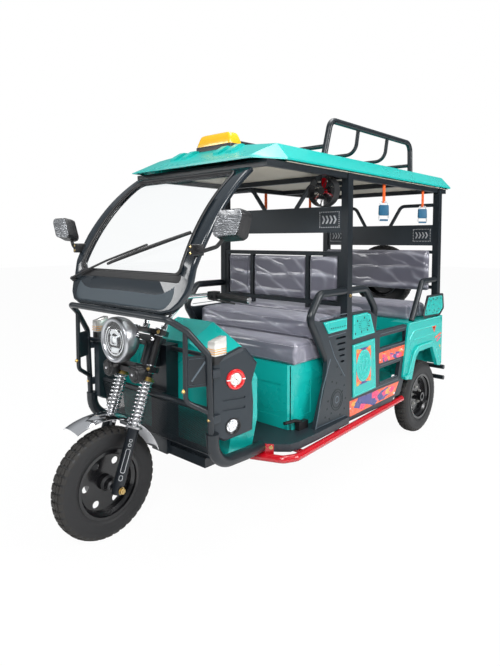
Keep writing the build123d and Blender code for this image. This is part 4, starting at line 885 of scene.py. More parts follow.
pale_line = finish("pale_printed_line", (0.55, 0.56, 0.58), 0.4, drift=0.15, grain=500, bump=0.05)
sleeve_marks = []
for side in (-1, 1):
    # thin printed outlines on the outer face of each lower sleeve
    for low, high, wide in ((40, 62, 0.30), (74, 178, 0.36), (190, 202, 0.26), (210, 222, 0.26)):
        loop = []
        flat = soft_outline([(-wide * 26, low), (wide * 26, low), (wide * 26, high), (-wide * 26, high)], 6)
        for across, s in flat:
            a = across / 26.25 + 0.62
            loop.append(fork_spot(side * (LEG_X + 26.25 * cos(a)), 26.25 * sin(a), s))
        sleeve_marks.append(pipe(loop, 0.0011, 5, closed=True))
piece("fork_sleeve_lines", painted(joined(sleeve_marks), pale_line), pale_line, "steering")
collars = []
for side in (-1, 1):
    for s, r in ((526, 23.5), (559, 23.5), (703, 23.5), (734, 24.5)):
        rows = [
            (-0.003, 0.0212), (-0.003, r / 1000 - 0.0008), (-0.002, r / 1000), (0.002, r / 1000),
            (0.003, r / 1000 - 0.0008), (0.003, 0.0212),
        ]
        ring = turned(rows, 32)
        upright = Matrix.Rotation(radians(-90), 4, "Y")
        collars.append(moved(moved(ring, upright), fork_matrix(side * LEG_X, 0, s)))
piece("fork_chrome_collars", painted(joined(collars), chrome_plate), chrome_plate, "steering")
clamp_bolts = [
    (fork_spot(side * 118, 24, s), (0, -cos(RAKE), sin(RAKE))) for side in (-1, 1) for s in (542, 719)
]
fixings("fork_clamp_bolts", small_bolt, clamp_bolts, brass, "steering")

# Pod lamps, turn signals and tail lamps: clear or coloured lenses in black or chrome housings,
# snapped into the pods and bolted to the body.
lens_clear = bpy.data.materials.new("lens_clear")
lens_clear.use_nodes = True
lens_shader = lens_clear.node_tree.nodes["Principled BSDF"]
set_inputs(
    lens_shader,
    {
        "Base Color": (0.97, 0.98, 0.98, 1), "Roughness": 0.03, "Transmission Weight": 1.0, "IOR": 1.06,
        "Coat Weight": 0.2,
    },
)
red_lens = finish("red_lens", (0.62, 0.010, 0.012), 0.10, coat=0.8, drift=0.1, grain=300, bump=0.03)
amber_lens = finish("amber_lens", (0.80, 0.36, 0.06), 0.12, coat=0.8, drift=0.1, grain=300, bump=0.03)
pale_lens = finish(
    "pale_prism_lens", (0.74, 0.72, 0.68), 0.14, metal=0.35, coat=0.8, drift=0.3, patches=90, grain=260,
    bump=0.35,
)
bright_bowl = finish(
    "bright_reflector", (0.82, 0.83, 0.85), 0.12, metal=1.0, drift=0.15, patches=60, grain=300, bump=0.12,
)
led_white = finish(
    "led_white", (0.86, 0.88, 0.90), 0.25, coat=0.6, drift=0.1, patches=60, grain=900, bump=0.1,
)


def pod_matrix(side):
    """The outer face of a corner pod: X runs back along it, Y up, Z outwards."""
    turn = radians(19.1)
    back_along = Vector((side * sin(turn), cos(turn), 0))
    out = Vector((side * cos(turn), -sin(turn), 0))
    return frame_at(at(side * 470, 236, 0), back_along, (0, 0, 1), out)


def spun(rows, steps, place):
    """A turned shape standing on the place's Z: rows of height and radius in millimetres."""
    mesh = turned([(h / 1000, r / 1000) for h, r in rows], steps)
    return moved(moved(mesh, Matrix.Rotation(radians(-90), 4, "Y")), place)


lamp_meshes = []
for side in (-1, 1):
    pod = pod_matrix(side)
    ring = pod @ Matrix.Translation((0.112, 0.757, 0))
    shell = [
        (-24, 44), (-24, 45.6), (1, 45.8), (5, 45.4), (8, 43), (9, 39), (9, 33), (7, 30), (2, 29),
        (-24, 29),
    ]
    add(lamp_meshes, spun(shell, 48, ring), red_lens)
    for turn in (0, pi):
        u = 38 * cos(turn)
        add(
            lamp_meshes, plate([(u - 8, -2), (u + 8, -2), (u + 8, 2), (u - 8, 2)], ring, 4, 9.6, 0.5),
            led_white,
        )
    ribbed = [(-24, 3), (-24, 29.4), (1, 29.4), (4, 28)]
    ribbed += [(6.5 - 0.3 * (i % 2) * 3, 28 - 2.2 * i) for i in range(1, 12)] + [(7.5, 3)]
    add(lamp_meshes, spun(ribbed, 40, ring), pale_lens)
    fog = pod @ Matrix.Translation((0.100, 0.548, 0))
    rim = [(-24, 36), (-24, 37.8), (1, 37.8), (4, 36.5), (4, 33), (-6, 29), (-12, 29), (-12, 35)]
    add(lamp_meshes, spun(rim, 40, fog), black_plastic)
    add(lamp_meshes, spun([(-13, 0.2), (-10.5, 0.2), (-10.5, 30), (-13, 30)], 40, fog), bright_bowl)
    spots = [(0, 0)] + [(16 * cos(i * pi / 3), 16 * sin(i * pi / 3)) for i in range(6)]
    for u, v in spots:
        bead = fog @ Matrix.Translation((u / 1000, v / 1000, 0))
        add(
            lamp_meshes,
            spun([(-11, 0.3), (-11, 7.6), (-6, 7.2), (-3, 5), (-1.6, 2.4), (-1.2, 0.3)], 16, bead),
            led_white,
        )
    # turn signal: black foot with a sloped, faceted lens, clear below and amber behind
    foot = soft_outline([(-22, -36), (22, -36), (22, 36), (-22, 36)], 6)
    upright = frame_at(at(side * 459, 276, 0), (1, 0, 0), (0, 1, 0), (0, 0, 1))
    add(lamp_meshes, plate(foot, upright, 832, 868, 2), black_plastic)
    facets = [(-22, -35), (22, -35), (22, 35), (-22, 35)]
    bottom = [at(side * 459 + x, 276 + d, 868) for x, d in facets]
    middle = [at(side * 459 + x * 1.02, 276 + d * 1.05, 915) for x, d in facets]
    top = [at(side * 459 + x, 276 + d, z) for (x, d), z in zip(facets, (930, 934, 951, 948))]
    points = bottom + middle + top
    faces = [(3, 2, 1, 0), (8, 9, 10, 11)]
    faces += [
        (r * 4 + i, r * 4 + (i + 1) % 4, r * 4 + 4 + (i + 1) % 4, r * 4 + 4 + i)
        for r in (0, 1) for i in range(4)
    ]
    signal = mesh_of(points, faces)
    shape = bmesh.new()
    shape.from_mesh(signal)
    bmesh.ops.recalc_face_normals(shape, faces=shape.faces)
    bmesh.ops.bevel(shape, geom=shape.edges[:], offset=0.003, segments=2, profile=0.6, affect="EDGES")
    shape.to_mesh(signal)
    shape.free()
    add(lamp_meshes, signal, pale_lens)
    for z in (878, 888, 898):
        strip = [at(side * 459 + x * 1.06, 276 + d * 1.07, z) for x, d in facets]
        add(
            lamp_meshes, pipe(rounded_path(strip + strip[:1], 0.004, 2)[:-1], 0.0016, 5, closed=True),
            amber_lens,
        )
    # tail lamp: chrome-edged block with a red, an amber and a clear field
    tail = frame_at(at(side * 425, 2552.2, 0), (side, 0, 0), (0, 0, 1), (0, 1, 0))
    body = soft_outline([(-50, 630), (50, 630), (50, 740), (-50, 740)], 10)
    add(lamp_meshes, plate(body, tail, 0, 10, 2), black_plastic)
    for low, high, paint in ((636, 674, red_lens), (676, 706, amber_lens), (708, 734, pale_lens)):
        field = soft_outline([(-45, low), (45, low), (45, high), (-45, high)], 5)
        add(lamp_meshes, plate(field, tail, 9, 21, 4, 3), paint)
        for u in range(-36, 40, 9):
            rib = [(u - 1, low + 6), (u + 1, low + 6), (u + 1, high - 6), (u - 1, high - 6)]
            add(lamp_meshes, plate(rib, tail, 20.6, 22, 0.5, 1), paint)
piece(
    "pod_turn_and_tail_lamps", joined(lamp_meshes),
    [red_lens, led_white, pale_lens, black_plastic, bright_bowl, amber_lens], "chassis",
    replaced=("lamps",),
)

# Headlamp: a spun chrome shell with a wide rim, a dark bowl with bright reflectors behind a clear
# domed lens, on two plates bolted to the fork legs.
lamp_place = frame_at(at(0, 0, 906), (1, 0, 0), (0, 0, 1), (0, -1, 0))
satin_shell = finish(
    "satin_chrome_shell", (0.50, 0.51, 0.53), 0.33, metal=1.0, drift=0.1, patches=8, grain=300, bump=0.04,
)
bowl_black = finish(
    "lamp_bowl_black", (0.012, 0.013, 0.015), 0.25, coat=0.4, drift=0.3, patches=40, grain=500, bump=0.1,
)
head = []
outer = [
    (-66, 84), (-58, 86), (-54, 90), (-52.5, 96), (-54, 102), (-60, 105.5), (-66, 106.3), (-90, 106.3),
    (-96, 105),
    (-112, 101), (-130, 92), (-148, 77), (-162, 54), (-171, 28), (-173.5, 1), (-170, 1), (-160, 50),
    (-128, 86), (-92, 98), (-74, 90),
]
add(head, spun(outer, 64, lamp_place), satin_shell)
add(
    head,
    spun([(-70, 0.3), (-70, 40), (-67, 70), (-64, 87), (-72, 89), (-80, 70), (-84, 0.3)], 48, lamp_place),
    bowl_black,
)
for radius, wide, start, share in ((74, 7, 0.36, 0.78), (58, 4, 0.36, 0.78)):
    outer_arc = round_outline((0, 0), radius, 40, start, share)
    inner_arc = round_outline((0, 0), radius - wide, 40, start, share)
    add(head, plate(outer_arc + inner_arc[::-1], lamp_place, -70, -60, 1, 1), bright_bowl)
brow = round_outline((0, 0), 50, 14, 0.07, 0.36) + round_outline((0, 0), 30, 14, 0.07, 0.36)[::-1]
add(head, plate(brow, lamp_place, -70, -62, 2, 2), bright_bowl)
projector = soft_outline([(-25, -24), (25, -24), (27, 20), (-27, 20)], 6)
add(
    head,
    ring_band(
        soft_outline([(-19, -18), (19, -18), (21, 14), (-21, 14)], 5), projector, lamp_place, -70, -56, 1.5,
    ),
    bright_bowl,
)
add(
    head, spun([(-70, 0.3), (-70, 19), (-63, 18), (-58, 14), (-55, 8), (-54, 0.3)], 32, lamp_place),
    led_white,
)
for turn in range(4):
    blade = lamp_place @ Matrix.Rotation(radians(45 + 90 * turn), 4, "Z")
    add(head, plate([(9, -1.4), (25, -1.4), (25, 1.4), (9, 1.4)], blade, -68, -55, 0.6, 1), bright_bowl)
for i in range(5):
    u = -22 + 11 * i
    slot = [(u - 2.6, -60), (u + 2.2, -60), (u + 5.8, -36), (u + 1.0, -36)]
    add(head, plate(slot, lamp_place, -68, -59, 1, 2), led_white)
add(
    head,
    spun(
        [(-62, 85.5), (-58, 84), (-54, 66), (-52, 40), (-51.4, 0.3), (-53, 0.3), (-56, 66), (-61, 83)], 56,
        lamp_place,
    ),
    lens_clear,
)
for side in (-1, 1):
    arm = frame_at(
        fork_spot(side * 95, 0, 680), (0, -cos(RAKE), sin(RAKE)), (0, sin(RAKE), cos(RAKE)), (1, 0, 0),
    )
    ear = soft_outline([(21, -16), (60, -16), (126, -10), (126, 10), (60, 16), (21, 16)], 6)
    add(head, plate(ear, arm, -4, 4, 1), black_plastic)
    for u in (34, 118):
        knob = arm @ Matrix.Translation((u / 1000, 0, 0))
        if side < 0:
            knob = knob @ Matrix.Rotation(pi, 4, "X")
        add(
            head, spun([(3, 0.3), (3, 9), (6, 9), (6, 7), (12, 7), (13.5, 5), (13.5, 0.3)], 12, knob),
            chrome_plate,
        )
piece(
    "headlamp_assembly", joined(head),
    [satin_shell, bowl_black, bright_bowl, led_white, lens_clear, black_plastic, chrome_plate],
    "steering", replaced=("headlamp",),
)

# Horn faces: pressed black discs with rings and a bright centre nut.
horn_faces = []
for side in (-1, 1):
    face = frame_at(at(side * 105, 94, 756), (1, 0, 0), (0, 0, 1), (0, -1, 0))
    rows = [
        (-30, 41.5), (-2, 41.5), (2, 40), (3.5, 36), (1, 33), (1, 30), (6, 27), (8, 22), (6, 17),
        (10.5, 13), (11, 6), (11, 0.3), (-6, 0.3), (-6, 38),
    ]
    add(horn_faces, spun(rows, 40, face), black_plastic)
    add(horn_faces, spun([(10, 0.3), (10, 7), (13, 7), (15, 4.5), (15, 0.3)], 6, face), chrome_plate)
piece("horn_faces", joined(horn_faces), [black_plastic, chrome_plate], "steering")

# Front guard: bolted with brass to the pods, with pressed plates beside the posts and an expanded
# metal apron between the lower tubes. The handlebar is chrome up to its black grips.


def new_mesh_tree():
    """A grid of crossed strands that join into expanded metal."""
    sockets = [(name, "NodeSocketFloat") for name in ("Wide", "Tall")]
    sockets += [
        ("Columns", "NodeSocketInt"), ("Rows", "NodeSocketInt"), ("Unit", "NodeSocketObject"),
        ("Finish", "NodeSocketMaterial"),
    ]
    tree, given, result = new_tree("Expanded metal", sockets)
    grid = tree.nodes.new("GeometryNodeMeshGrid")
    for a, b in (("Wide", "Size X"), ("Tall", "Size Y"), ("Columns", "Vertices X"), ("Rows", "Vertices Y")):
        tree.links.new(given.outputs[a], grid.inputs[b])
    unit = tree.nodes.new("GeometryNodeObjectInfo")
    tree.links.new(given.outputs["Unit"], unit.inputs["Object"])
    copies = tree.nodes.new("GeometryNodeInstanceOnPoints")
    tree.links.new(grid.outputs[0], copies.inputs["Points"])
    tree.links.new(unit.outputs["Geometry"], copies.inputs["Instance"])
    end_tree(tree, given, result, copies.outputs[0])
    return tree


# a lighter slate for raised rims, ribs and pressed lines: painted highlight where they catch the light
painted_slate_highlight = finish(
    "slate_painted_highlight", (0.085, 0.110, 0.132), 0.35, drift=0.3, patches=20, grain=700, bump=0.1,
)
strands = []
for sign in (-1, 1):
    slope = atan2(4.15 * sign, 7)
    strand = plate(
        [(-8.2, -1.05), (8.2, -1.05), (8.2, 1.05), (-8.2, 1.05)], Matrix.Rotation(slope, 4, "Z"), -1.0, 1.0,
        0,
    )
    strands.append(strand)
strand_pair = held(joined(strands))
apron_net = grown(
    new_mesh_tree(),
    {"Wide": 0.812, "Tall": 0.191, "Columns": 59, "Rows": 24, "Unit": strand_pair, "Finish": slate_coat},
)
lean = Vector((0, -0.1988, 0.980))
apron_place = frame_at(
    at(0, 275 + 21.5 - 16.8, 610 - 106 - 3.3), (1, 0, 0), lean, Vector((1, 0, 0)).cross(lean),
)
rim_out = soft_outline([(-419, -104), (419, -104), (419, 104), (-419, 104)], 12)
rim_in = soft_outline([(-406, -94), (406, -94), (406, 94), (-406, 94)], 8)
apron_parts = [
    moved(apron_net, apron_place), painted(ring_band(rim_in, rim_out, apron_place, -2, 3, 1), slate_coat),
]
piece(
    "expanded_metal_apron", joined(apron_parts), slate_coat, "chassis",
    replaced=("front_apron",),
)
guard_meshes, guard_bolts = [], []
for side in (-1, 1):
    run = Vector((side * 51, 100, 0)).normalized()
    face = frame_at(at(side * 427, 122, 814), run, (0, 0, 1), (side * run.y, -side * run.x, 0))
    outer = soft_outline([(12, -56), (100, -56), (100, 56), (12, 56)], 8)
    inner = soft_outline([(18, -50), (94, -50), (94, 50), (18, 50)], 5)
    # the plates' raised rims and ribs carry the lighter slate of a painted highlight
    add(guard_meshes, ring_band(inner, outer, face, 1.8, 4.2, 1), painted_slate_highlight)
    rib = [face @ Vector((u / 1000, v / 1000, 0.002)) for u, v in ((26, -40), (86, 40))]
    add(guard_meshes, pipe(rib, 0.004, 8), painted_slate_highlight)
    guard_bolts += [(at(side * 478, 208, z), (0, -1, 0)) for z in (797, 600)]
    guard_bolts.append((at(side * 427, 111, 735), (0, -1, 0)))
    for s in (-17, 17):
        guard_bolts.append(
            (at(side * (445.4 + 0.832 * s), 631.2 + 0.555 * s, 350), (side * 0.555, -0.832, 0))
        )
piece("guard_pressings", joined(guard_meshes), painted_slate_highlight, "chassis")
fixings("guard_bolts", small_bolt, guard_bolts, brass, "chassis")

bar_finish = finish("handlebar_finishes", (0.7, 0.7, 0.72), 0.16, metal=1.0, drift=0.1, grain=500, bump=0.05)
bar_nodes, bar_links = bar_finish.node_tree.nodes, bar_finish.node_tree.links
bar_place = bar_nodes.new("ShaderNodeTexCoord")
bar_split = bar_nodes.new("ShaderNodeSeparateXYZ")
bar_out = bar_nodes.new("ShaderNodeMath")
bar_out.operation = "ABSOLUTE"
bar_links.new(bar_place.outputs["Object"], bar_split.inputs[0])
bar_links.new(bar_split.outputs["X"], bar_out.inputs[0])
for rows, socket in (
    (
        ((0.0, (0.72, 0.72, 0.74)), (0.150, (0.006, 0.006, 0.007)), (0.374, (0.55, 0.55, 0.57))),
        bar_nodes["Surface"].inputs["Colour"],
    ),
    (((0.0, (1.0,)), (0.150, (0.0,)), (0.374, (1.0,))), bar_nodes["Principled BSDF"].inputs["Metallic"]),
    (((0.0, (0.16,)), (0.150, (0.5,)), (0.374, (0.25,))), bar_nodes["Surface"].inputs["Roughness"]),
):
    ramp = ramp_node(bar_nodes, rows)
    bar_links.new(bar_out.outputs[0], ramp.inputs["Fac"])
    bar_links.new(ramp.outputs[0], socket)
dress(bar_finish, "handlebar")
ribs = []
for side in (-1, 1):
    a, b = at(side * 200, 539.8, 1088), at(side * 380, 575, 1074)
    for i in range(22):
        share = 0.08 + 0.82 * i / 21
        spot, way = a.lerp(b, share), (b - a).normalized()
        ribs.append(
            pipe(
                [spot - way * 0.0022, spot - way * 0.0012, spot + way * 0.0012, spot + way * 0.0022],
                [0.0155, 0.0175, 0.0175, 0.0155], 20,
            )
        )
grip_rubber = finish("grip_rubber", (0.008, 0.008, 0.009), 0.6, drift=0.2, grain=900, bump=0.2)
piece("grip_ribs", painted(joined(ribs), grip_rubber), grip_rubber, "steering")

# Seats and backrests: foam pads in grey vinyl, still in the thin clear film they were delivered
# in. The film is drawn over them loosely, and the pale streaks where its folds catch the light,
# and the paler tops where it reflects the light, are painted highlight in the vinyl's colour.


def new_film_group():
    """Wandering folds in thin film: their height, and a mask of the crests where a highlight is painted."""
    group = bpy.data.node_groups.new("Film folds", "ShaderNodeTree")
    for name, value in (("Fold scale", 5.0), ("Crease scale", 16.0), ("Sharpness", 10.0)):
        group.interface.new_socket(
            name=name, in_out="INPUT", socket_type="NodeSocketFloat",
        ).default_value = value
    stretch = group.interface.new_socket(name="Stretch", in_out="INPUT", socket_type="NodeSocketVector")
    stretch.default_value = (1, 1, 1)
    for name in ("Height", "Painted crest highlights", "Haze"):
        group.interface.new_socket(name=name, in_out="OUTPUT", socket_type="NodeSocketFloat")
    nodes, links = group.nodes, group.links
    given, result = nodes.new("NodeGroupInput"), nodes.new("NodeGroupOutput")
    spot = nodes.new("ShaderNodeTexCoord")
    stretched = nodes.new("ShaderNodeVectorMath")
    stretched.operation = "MULTIPLY"
    links.new(spot.outputs["Object"], stretched.inputs[0])
    links.new(given.outputs["Stretch"], stretched.inputs[1])

    def step(kind, a, b):
        node = nodes.new("ShaderNodeMath")
        node.operation = kind
        for place, value in ((0, a), (1, b)):
            if isinstance(value, (int, float)):
                node.inputs[place].default_value = value
            else:
                links.new(value, node.inputs[place])
        return node.outputs[0]

    crests = []
    for scale, direction, distortion, weight in (
        ("Fold scale", "Z", 9.0, 1.0), ("Crease scale", "DIAGONAL", 11.0, 0.6),
    ):
        wave = nodes.new("ShaderNodeTexWave")
        wave.bands_direction = direction
        set_inputs(wave, {"Distortion": distortion, "Detail": 2, "Detail Scale": 0.6})
        links.new(stretched.outputs[0], wave.inputs["Vector"])
        links.new(given.outputs[scale], wave.inputs["Scale"])
        crests.append(
            step("MULTIPLY", step("POWER", wave.outputs["Fac"], given.outputs["Sharpness"]), weight)
        )
    patchy = nodes.new("ShaderNodeTexNoise")
    set_inputs(patchy, {"Scale": 4.5, "Detail": 3})
    links.new(spot.outputs["Object"], patchy.inputs["Vector"])
    loose = nodes.new("ShaderNodeMapRange")
    set_inputs(loose, {"From Min": 0.38, "From Max": 0.62})
    links.new(patchy.outputs["Fac"], loose.inputs["Value"])
    total = step("ADD", crests[0], crests[1])
    links.new(total, result.inputs["Height"])
    # the crests, thinned out in patches, are the mask for the painted highlight
    links.new(step("MULTIPLY", total, loose.outputs[0]), result.inputs["Painted crest highlights"])
    links.new(loose.outputs[0], result.inputs["Haze"])
    return group


film_folds = new_film_group()


def filmed_vinyl(name, colour, stretch, fold=5.0, crease=16.0):
    """Grained vinyl under loose clear film, painted paler as a highlight on fold crests and upward faces."""
    material = finish(name, colour, 0.46, coat=1.0, drift=0.16, patches=5, grain=900, bump=0.12)
    nodes, links = material.node_tree.nodes, material.node_tree.links
    shader = nodes["Principled BSDF"]
    set_inputs(
        shader,
        {
            "Coat Roughness": 0.14, "Sheen Weight": 0.8, "Sheen Roughness": 0.35,
            "Sheen Tint": (0.88, 0.88, 1.0, 1),
        },
    )
    folds = nodes.new("ShaderNodeGroup")
    folds.node_tree = film_folds
    set_inputs(folds, {"Stretch": stretch, "Fold scale": fold, "Crease scale": crease})
    raised = nodes.new("ShaderNodeBump")
    set_inputs(raised, {"Strength": 0.75, "Distance": 0.006})
    links.new(folds.outputs["Height"], raised.inputs["Height"])
    links.new(raised.outputs[0], shader.inputs["Coat Normal"])
    soft = nodes.new("ShaderNodeBump")
    set_inputs(soft, {"Strength": 0.35, "Distance": 0.004})
    links.new(folds.outputs["Height"], soft.inputs["Height"])
    links.new(nodes["Grain"].outputs[0], soft.inputs["Normal"])
    links.new(soft.outputs[0], shader.inputs["Normal"])
    # painted highlight and reflection: the base colour turns pale on the fold crests and on upward faces
    pale = nodes.new("ShaderNodeMix")
    pale.data_type = "RGBA"
    pale.inputs[7].default_value = (0.62, 0.62, 0.70, 1)
    facing = nodes.new("ShaderNodeNewGeometry")
    up = nodes.new("ShaderNodeSeparateXYZ")
    links.new(facing.outputs["Normal"], up.inputs[0])
    # upward faces get up to a third of the pale colour, a painted reflection of the light above
    painted_top_sheen = nodes.new("ShaderNodeMapRange")
    set_inputs(painted_top_sheen, {"From Min": 0.45, "To Max": 0.34})
    links.new(up.outputs["Z"], painted_top_sheen.inputs["Value"])
    share = nodes.new("ShaderNodeMath")
    share.operation = "MULTIPLY_ADD"
    share.inputs[1].default_value = 0.5
    links.new(folds.outputs["Painted crest highlights"], share.inputs[0])
    links.new(painted_top_sheen.outputs[0], share.inputs[2])
    links.new(share.outputs[0], pale.inputs[0])
    links.new(nodes["Surface"].outputs["Colour"], pale.inputs[6])
    links.new(pale.outputs[2], shader.inputs["Base Color"])
    return material


seat_vinyl = filmed_vinyl("seat_vinyl_under_film", (0.165, 0.162, 0.205), (0.30, 1.3, 1.0), 3.4, 5.0)
back_vinyl = filmed_vinyl("backrest_vinyl_under_film", (0.105, 0.103, 0.135), (0.7, 1.0, 1.0), 2.6, 4.4)


def settled(worked):
    """The plain mesh that an object's modifiers make."""
    return bpy.data.meshes.new_from_object(worked.evaluated_get(bpy.context.evaluated_depsgraph_get()))


def padded_block(
    name, low, high, voxel, swell, body, material, replaced, bulge=(10, 10, 18), pleats=2.2, flat=(),
):
    """A foam pad: a bevelled block swollen under pressure, with its covers' seams at the edges.

    low and high are its corners in millimetres as x, behind, z; bulge is how far its covers may
    move along each; flat is a list of limits as axis, least, most, and the region they hold in.
    """
    inset = 7
    a = Vector(at(low[0] + inset, low[1] + inset, low[2] + 1))
    b = Vector(at(high[0] - inset, high[1] - inset, high[2] - inset))
    shape = bmesh.new()
    bmesh.ops.create_cube(shape, size=1)
    bmesh.ops.scale(shape, vec=b - a, verts=shape.verts)
    bmesh.ops.translate(shape, vec=(a + b) / 2, verts=shape.verts)
    bmesh.ops.bevel(shape, geom=shape.edges[:], offset=0.012, segments=3, profile=0.5, affect="EDGES")
    mesh = bpy.data.meshes.new(name)
    shape.to_mesh(mesh)
    shape.free()
    pad = bpy.data.objects.new("pad_in_work", mesh)
    bpy.context.scene.collection.objects.link(pad)
    remesh = pad.modifiers.new("voxels", "REMESH")
    remesh.mode = "VOXEL"
    remesh.voxel_size = voxel / 1000
    mesh = settled(pad)
    pad.modifiers.clear()
    pad.data = mesh
    rest = [v.co.copy() for v in mesh.vertices]
    middle, half = (a + b) / 2, (b - a) / 2
    cloth = pad.modifiers.new("cover", "CLOTH")
    cloth.settings.use_pressure = True
    cloth.settings.uniform_pressure_force = swell
    cloth.settings.effector_weights.gravity = 0
    cloth.settings.quality = 4
    cloth.collision_settings.use_collision = False
    cloth.point_cache.frame_start = 1
    cloth.point_cache.frame_end = 20
    for step in range(1, 21):
        bpy.context.scene.frame_set(step)
    swollen = pad.evaluated_get(bpy.context.evaluated_depsgraph_get())
    moved_to = [v.co.copy() for v in swollen.data.vertices]
    pad.modifiers.clear()
    bpy.context.scene.frame_set(1)
    bottom = a.z
    for vertex, start, end in zip(mesh.vertices, rest, moved_to):
        shift = end - start
        for i in range(3):
            reach = bulge[i] / 1000
            shift[i] = reach * tanh(shift[i] / reach)
        p = start + shift
        # the covers gather in pleats towards the upright corners
        corner = Vector((copysign(half.x, start.x - middle.x), copysign(half.y, start.y - middle.y), 0))
        away = hypot(start.x - middle.x - corner.x, start.y - middle.y - corner.y)
        height = (start.z - a.z) / (b.z - a.z)
        if away < 0.16 and abs(start.z - middle.z) < half.z * 0.98 and pleats:
            ripple = sin(away * 420 + 5 * height) * exp(-away / 0.05) * sin(pi * min(1, height))
            outward = Vector((start.x - middle.x, start.y - middle.y, 0)).normalized()
            p += outward * (pleats / 1000 * ripple)
        p.z = max(p.z, bottom)
        for axis, least, most, region in flat:
            if all(lo <= p[i] <= hi for i, lo, hi in region):
                p[axis] = min(max(p[axis], least), most)
        vertex.co = p
    finer = pad.modifiers.new("finer", "SUBSURF")
    finer.levels = 1
    finer.render_levels = 1
    mesh = settled(pad)
    bpy.data.objects.remove(pad)
    # welts along the top and bottom seams, laid on the swollen cover
    skin = bmesh.new()
    skin.from_mesh(mesh)
    tree = BVHTree.FromBMesh(skin)
    meshes = [painted(mesh, material)]
    for z in (b.z - 0.004, a.z + 0.006):
        loop = soft_outline([(a.x, a.y), (b.x, a.y), (b.x, b.y), (a.x, b.y)], 0.02, 6)
        welt = []
        for i, (x, y) in enumerate(loop):
            x2, y2 = loop[(i + 1) % len(loop)]
            count = max(1, int(hypot(x2 - x, y2 - y) / 0.02))
            for k in range(count):
                share = k / count
                spot = Vector((x + (x2 - x) * share, y + (y2 - y) * share, z))
                outside = spot + (spot - Vector((middle.x, middle.y, z))).normalized() * 0.03
                found = tree.find_nearest(outside)
                welt.append(found[0] if found[0] else spot)
        add(meshes, pipe(welt, 0.0022, 6, closed=True), material)
    skin.free()
    made = piece(name, joined(meshes), material, body, angle=0, replaced=replaced)
    for face in made.data.polygons:
        face.use_smooth = True
    return made


lower_z = 713
padded_block(
    "driver_seat_cushion", (-456, 842, lower_z), (456, 1236, 829), 10, 4, "chassis", seat_vinyl,
    ("driver_cushions",),
    (12, 12, 12), 2.6, [(2, 0, 0.828, [(1, at(0, 996, 0).y, 9), (2, 0.80, 9)])],
)
padded_block(
    "driver_seat_back_cushion", (-456, 1000, 829), (456, 1236, 942), 9, 4, "chassis", seat_vinyl,
    ("driver_cushions",),
    (12, 8, 14), 2.2,
)
padded_block(
    "middle_bench_cushion", (-454, 1246, 867), (454, 1560, 960), 9.5, 4, "chassis", seat_vinyl,
    ("bench_cushions",),
    (12, 8, 12), 2.0,
)
padded_block(
    "rear_bench_cushion", (-454, 2130, 813), (454, 2434, 915), 9.5, 4, "chassis", seat_vinyl,
    ("bench_cushions",),
    (12, 10, 14), 2.0,
)
PILLAR_INNER = 460
bay_edges = ((-PILLAR_INNER + 25, -234.5), (-209.5, 209.5), (234.5, PILLAR_INNER - 25))
for place, (left_edge, right_edge) in zip(("right", "middle", "left"), bay_edges):
    padded_block(
        f"driver_backrest_pad_{place}", (left_edge - 6, 1251, 1010), (right_edge + 6, 1291, 1283), 7, 4,
        "chassis", back_vinyl,
        ("backrest_pads",), (3, 9, 3), 0,
    )
padded_block(
    "rear_backrest_pad", (-460, 2436, 990), (460, 2481, 1304), 9, 4, "chassis", back_vinyl,
    ("backrest_pads",),
    (6, 14, 6), 1.0,
)

# Windscreen surround: a dark gloss frame with a lighter slate field below the pane, a rubber seal
# round the pane, a wiper parked across it and a mirror on a clamp at each side.
seal_rubber = finish("seal_rubber", (0.009, 0.009, 0.010), 0.45, drift=0.2, grain=800, bump=0.12)
frame_gloss = finish(
    "screen_frame_gloss", (0.010, 0.016, 0.022), 0.24, coat=0.25, drift=0.15, patches=3, grain=900,
    bump=0.06,
)


def screen_spot(x, z, out=0.0):
    """A place on the bent face of the windscreen frame, raised forwards by out."""
    rows = ((66, 1053), (121, 1178), (137, 1258))
    if z < 1258:
        (d1, z1), (d2, z2) = (rows[0], rows[1]) if z < 1178 else (rows[1], rows[2])
        slope = (d2 - d1) / (z2 - z1)
        d = d1 + slope * (z - z1)
    else:
        d = 1109.36 - sqrt(1064.62 ** 2 - (z - 824.48) ** 2)
        slope = (z - 824.48) / (1109.36 - d)
    tilt = atan(slope)
    return at(x, d - out * cos(tilt), z + out * sin(tilt))


def dense(outline, step=18):
    """A closed outline with points added along its long edges."""
    result = []
    for (u, v), (u2, v2) in zip(outline, outline[1:] + outline[:1]):
        count = max(1, int(hypot(u2 - u, v2 - v) / step))
        result += [(u + (u2 - u) * i / count, v + (v2 - v) * i / count) for i in range(count)]
    return result


window_half = [(391, 1218), (389, 1300), (372, 1690)]
window = dense(soft_outline([*window_half, *[(-x, z) for x, z in reversed(window_half)]], 36))
screen_meshes = [
    painted(
        pipe(
            [screen_spot(x, z, 1) for x, z in window], 0.0085, 10, flat=0.55, closed=True,
            side=(0, -1, 0.3),
        ),
        seal_rubber,
    )
]
screen_meshes.append(
    painted(
        pipe(
            [screen_spot(x * 0.972, z + (1440 - z) * 0.022, -6) for x, z in window], 0.005, 8, closed=True,
        ),
        seal_rubber,
    )
)


def outline_at(outline, angle, middle=(0.0, 1410.0)):
    """Where a ray from the middle at an angle leaves a closed outline."""
    c, s = cos(angle), sin(angle)
    for (u, v), (u2, v2) in zip(outline, outline[1:] + outline[:1]):
        a, b, e, f = u - middle[0], v - middle[1], u2 - u, v2 - v
        across = c * f - s * e
        if abs(across) < 1e-9:
            continue
        reach = (a * f - b * e) / across
        share = (a * s - b * c) / across
        if reach > 0 and -1e-9 <= share <= 1 + 1e-9:
            return Vector((middle[0] + c * reach, middle[1] + s * reach))
    return Vector(middle)


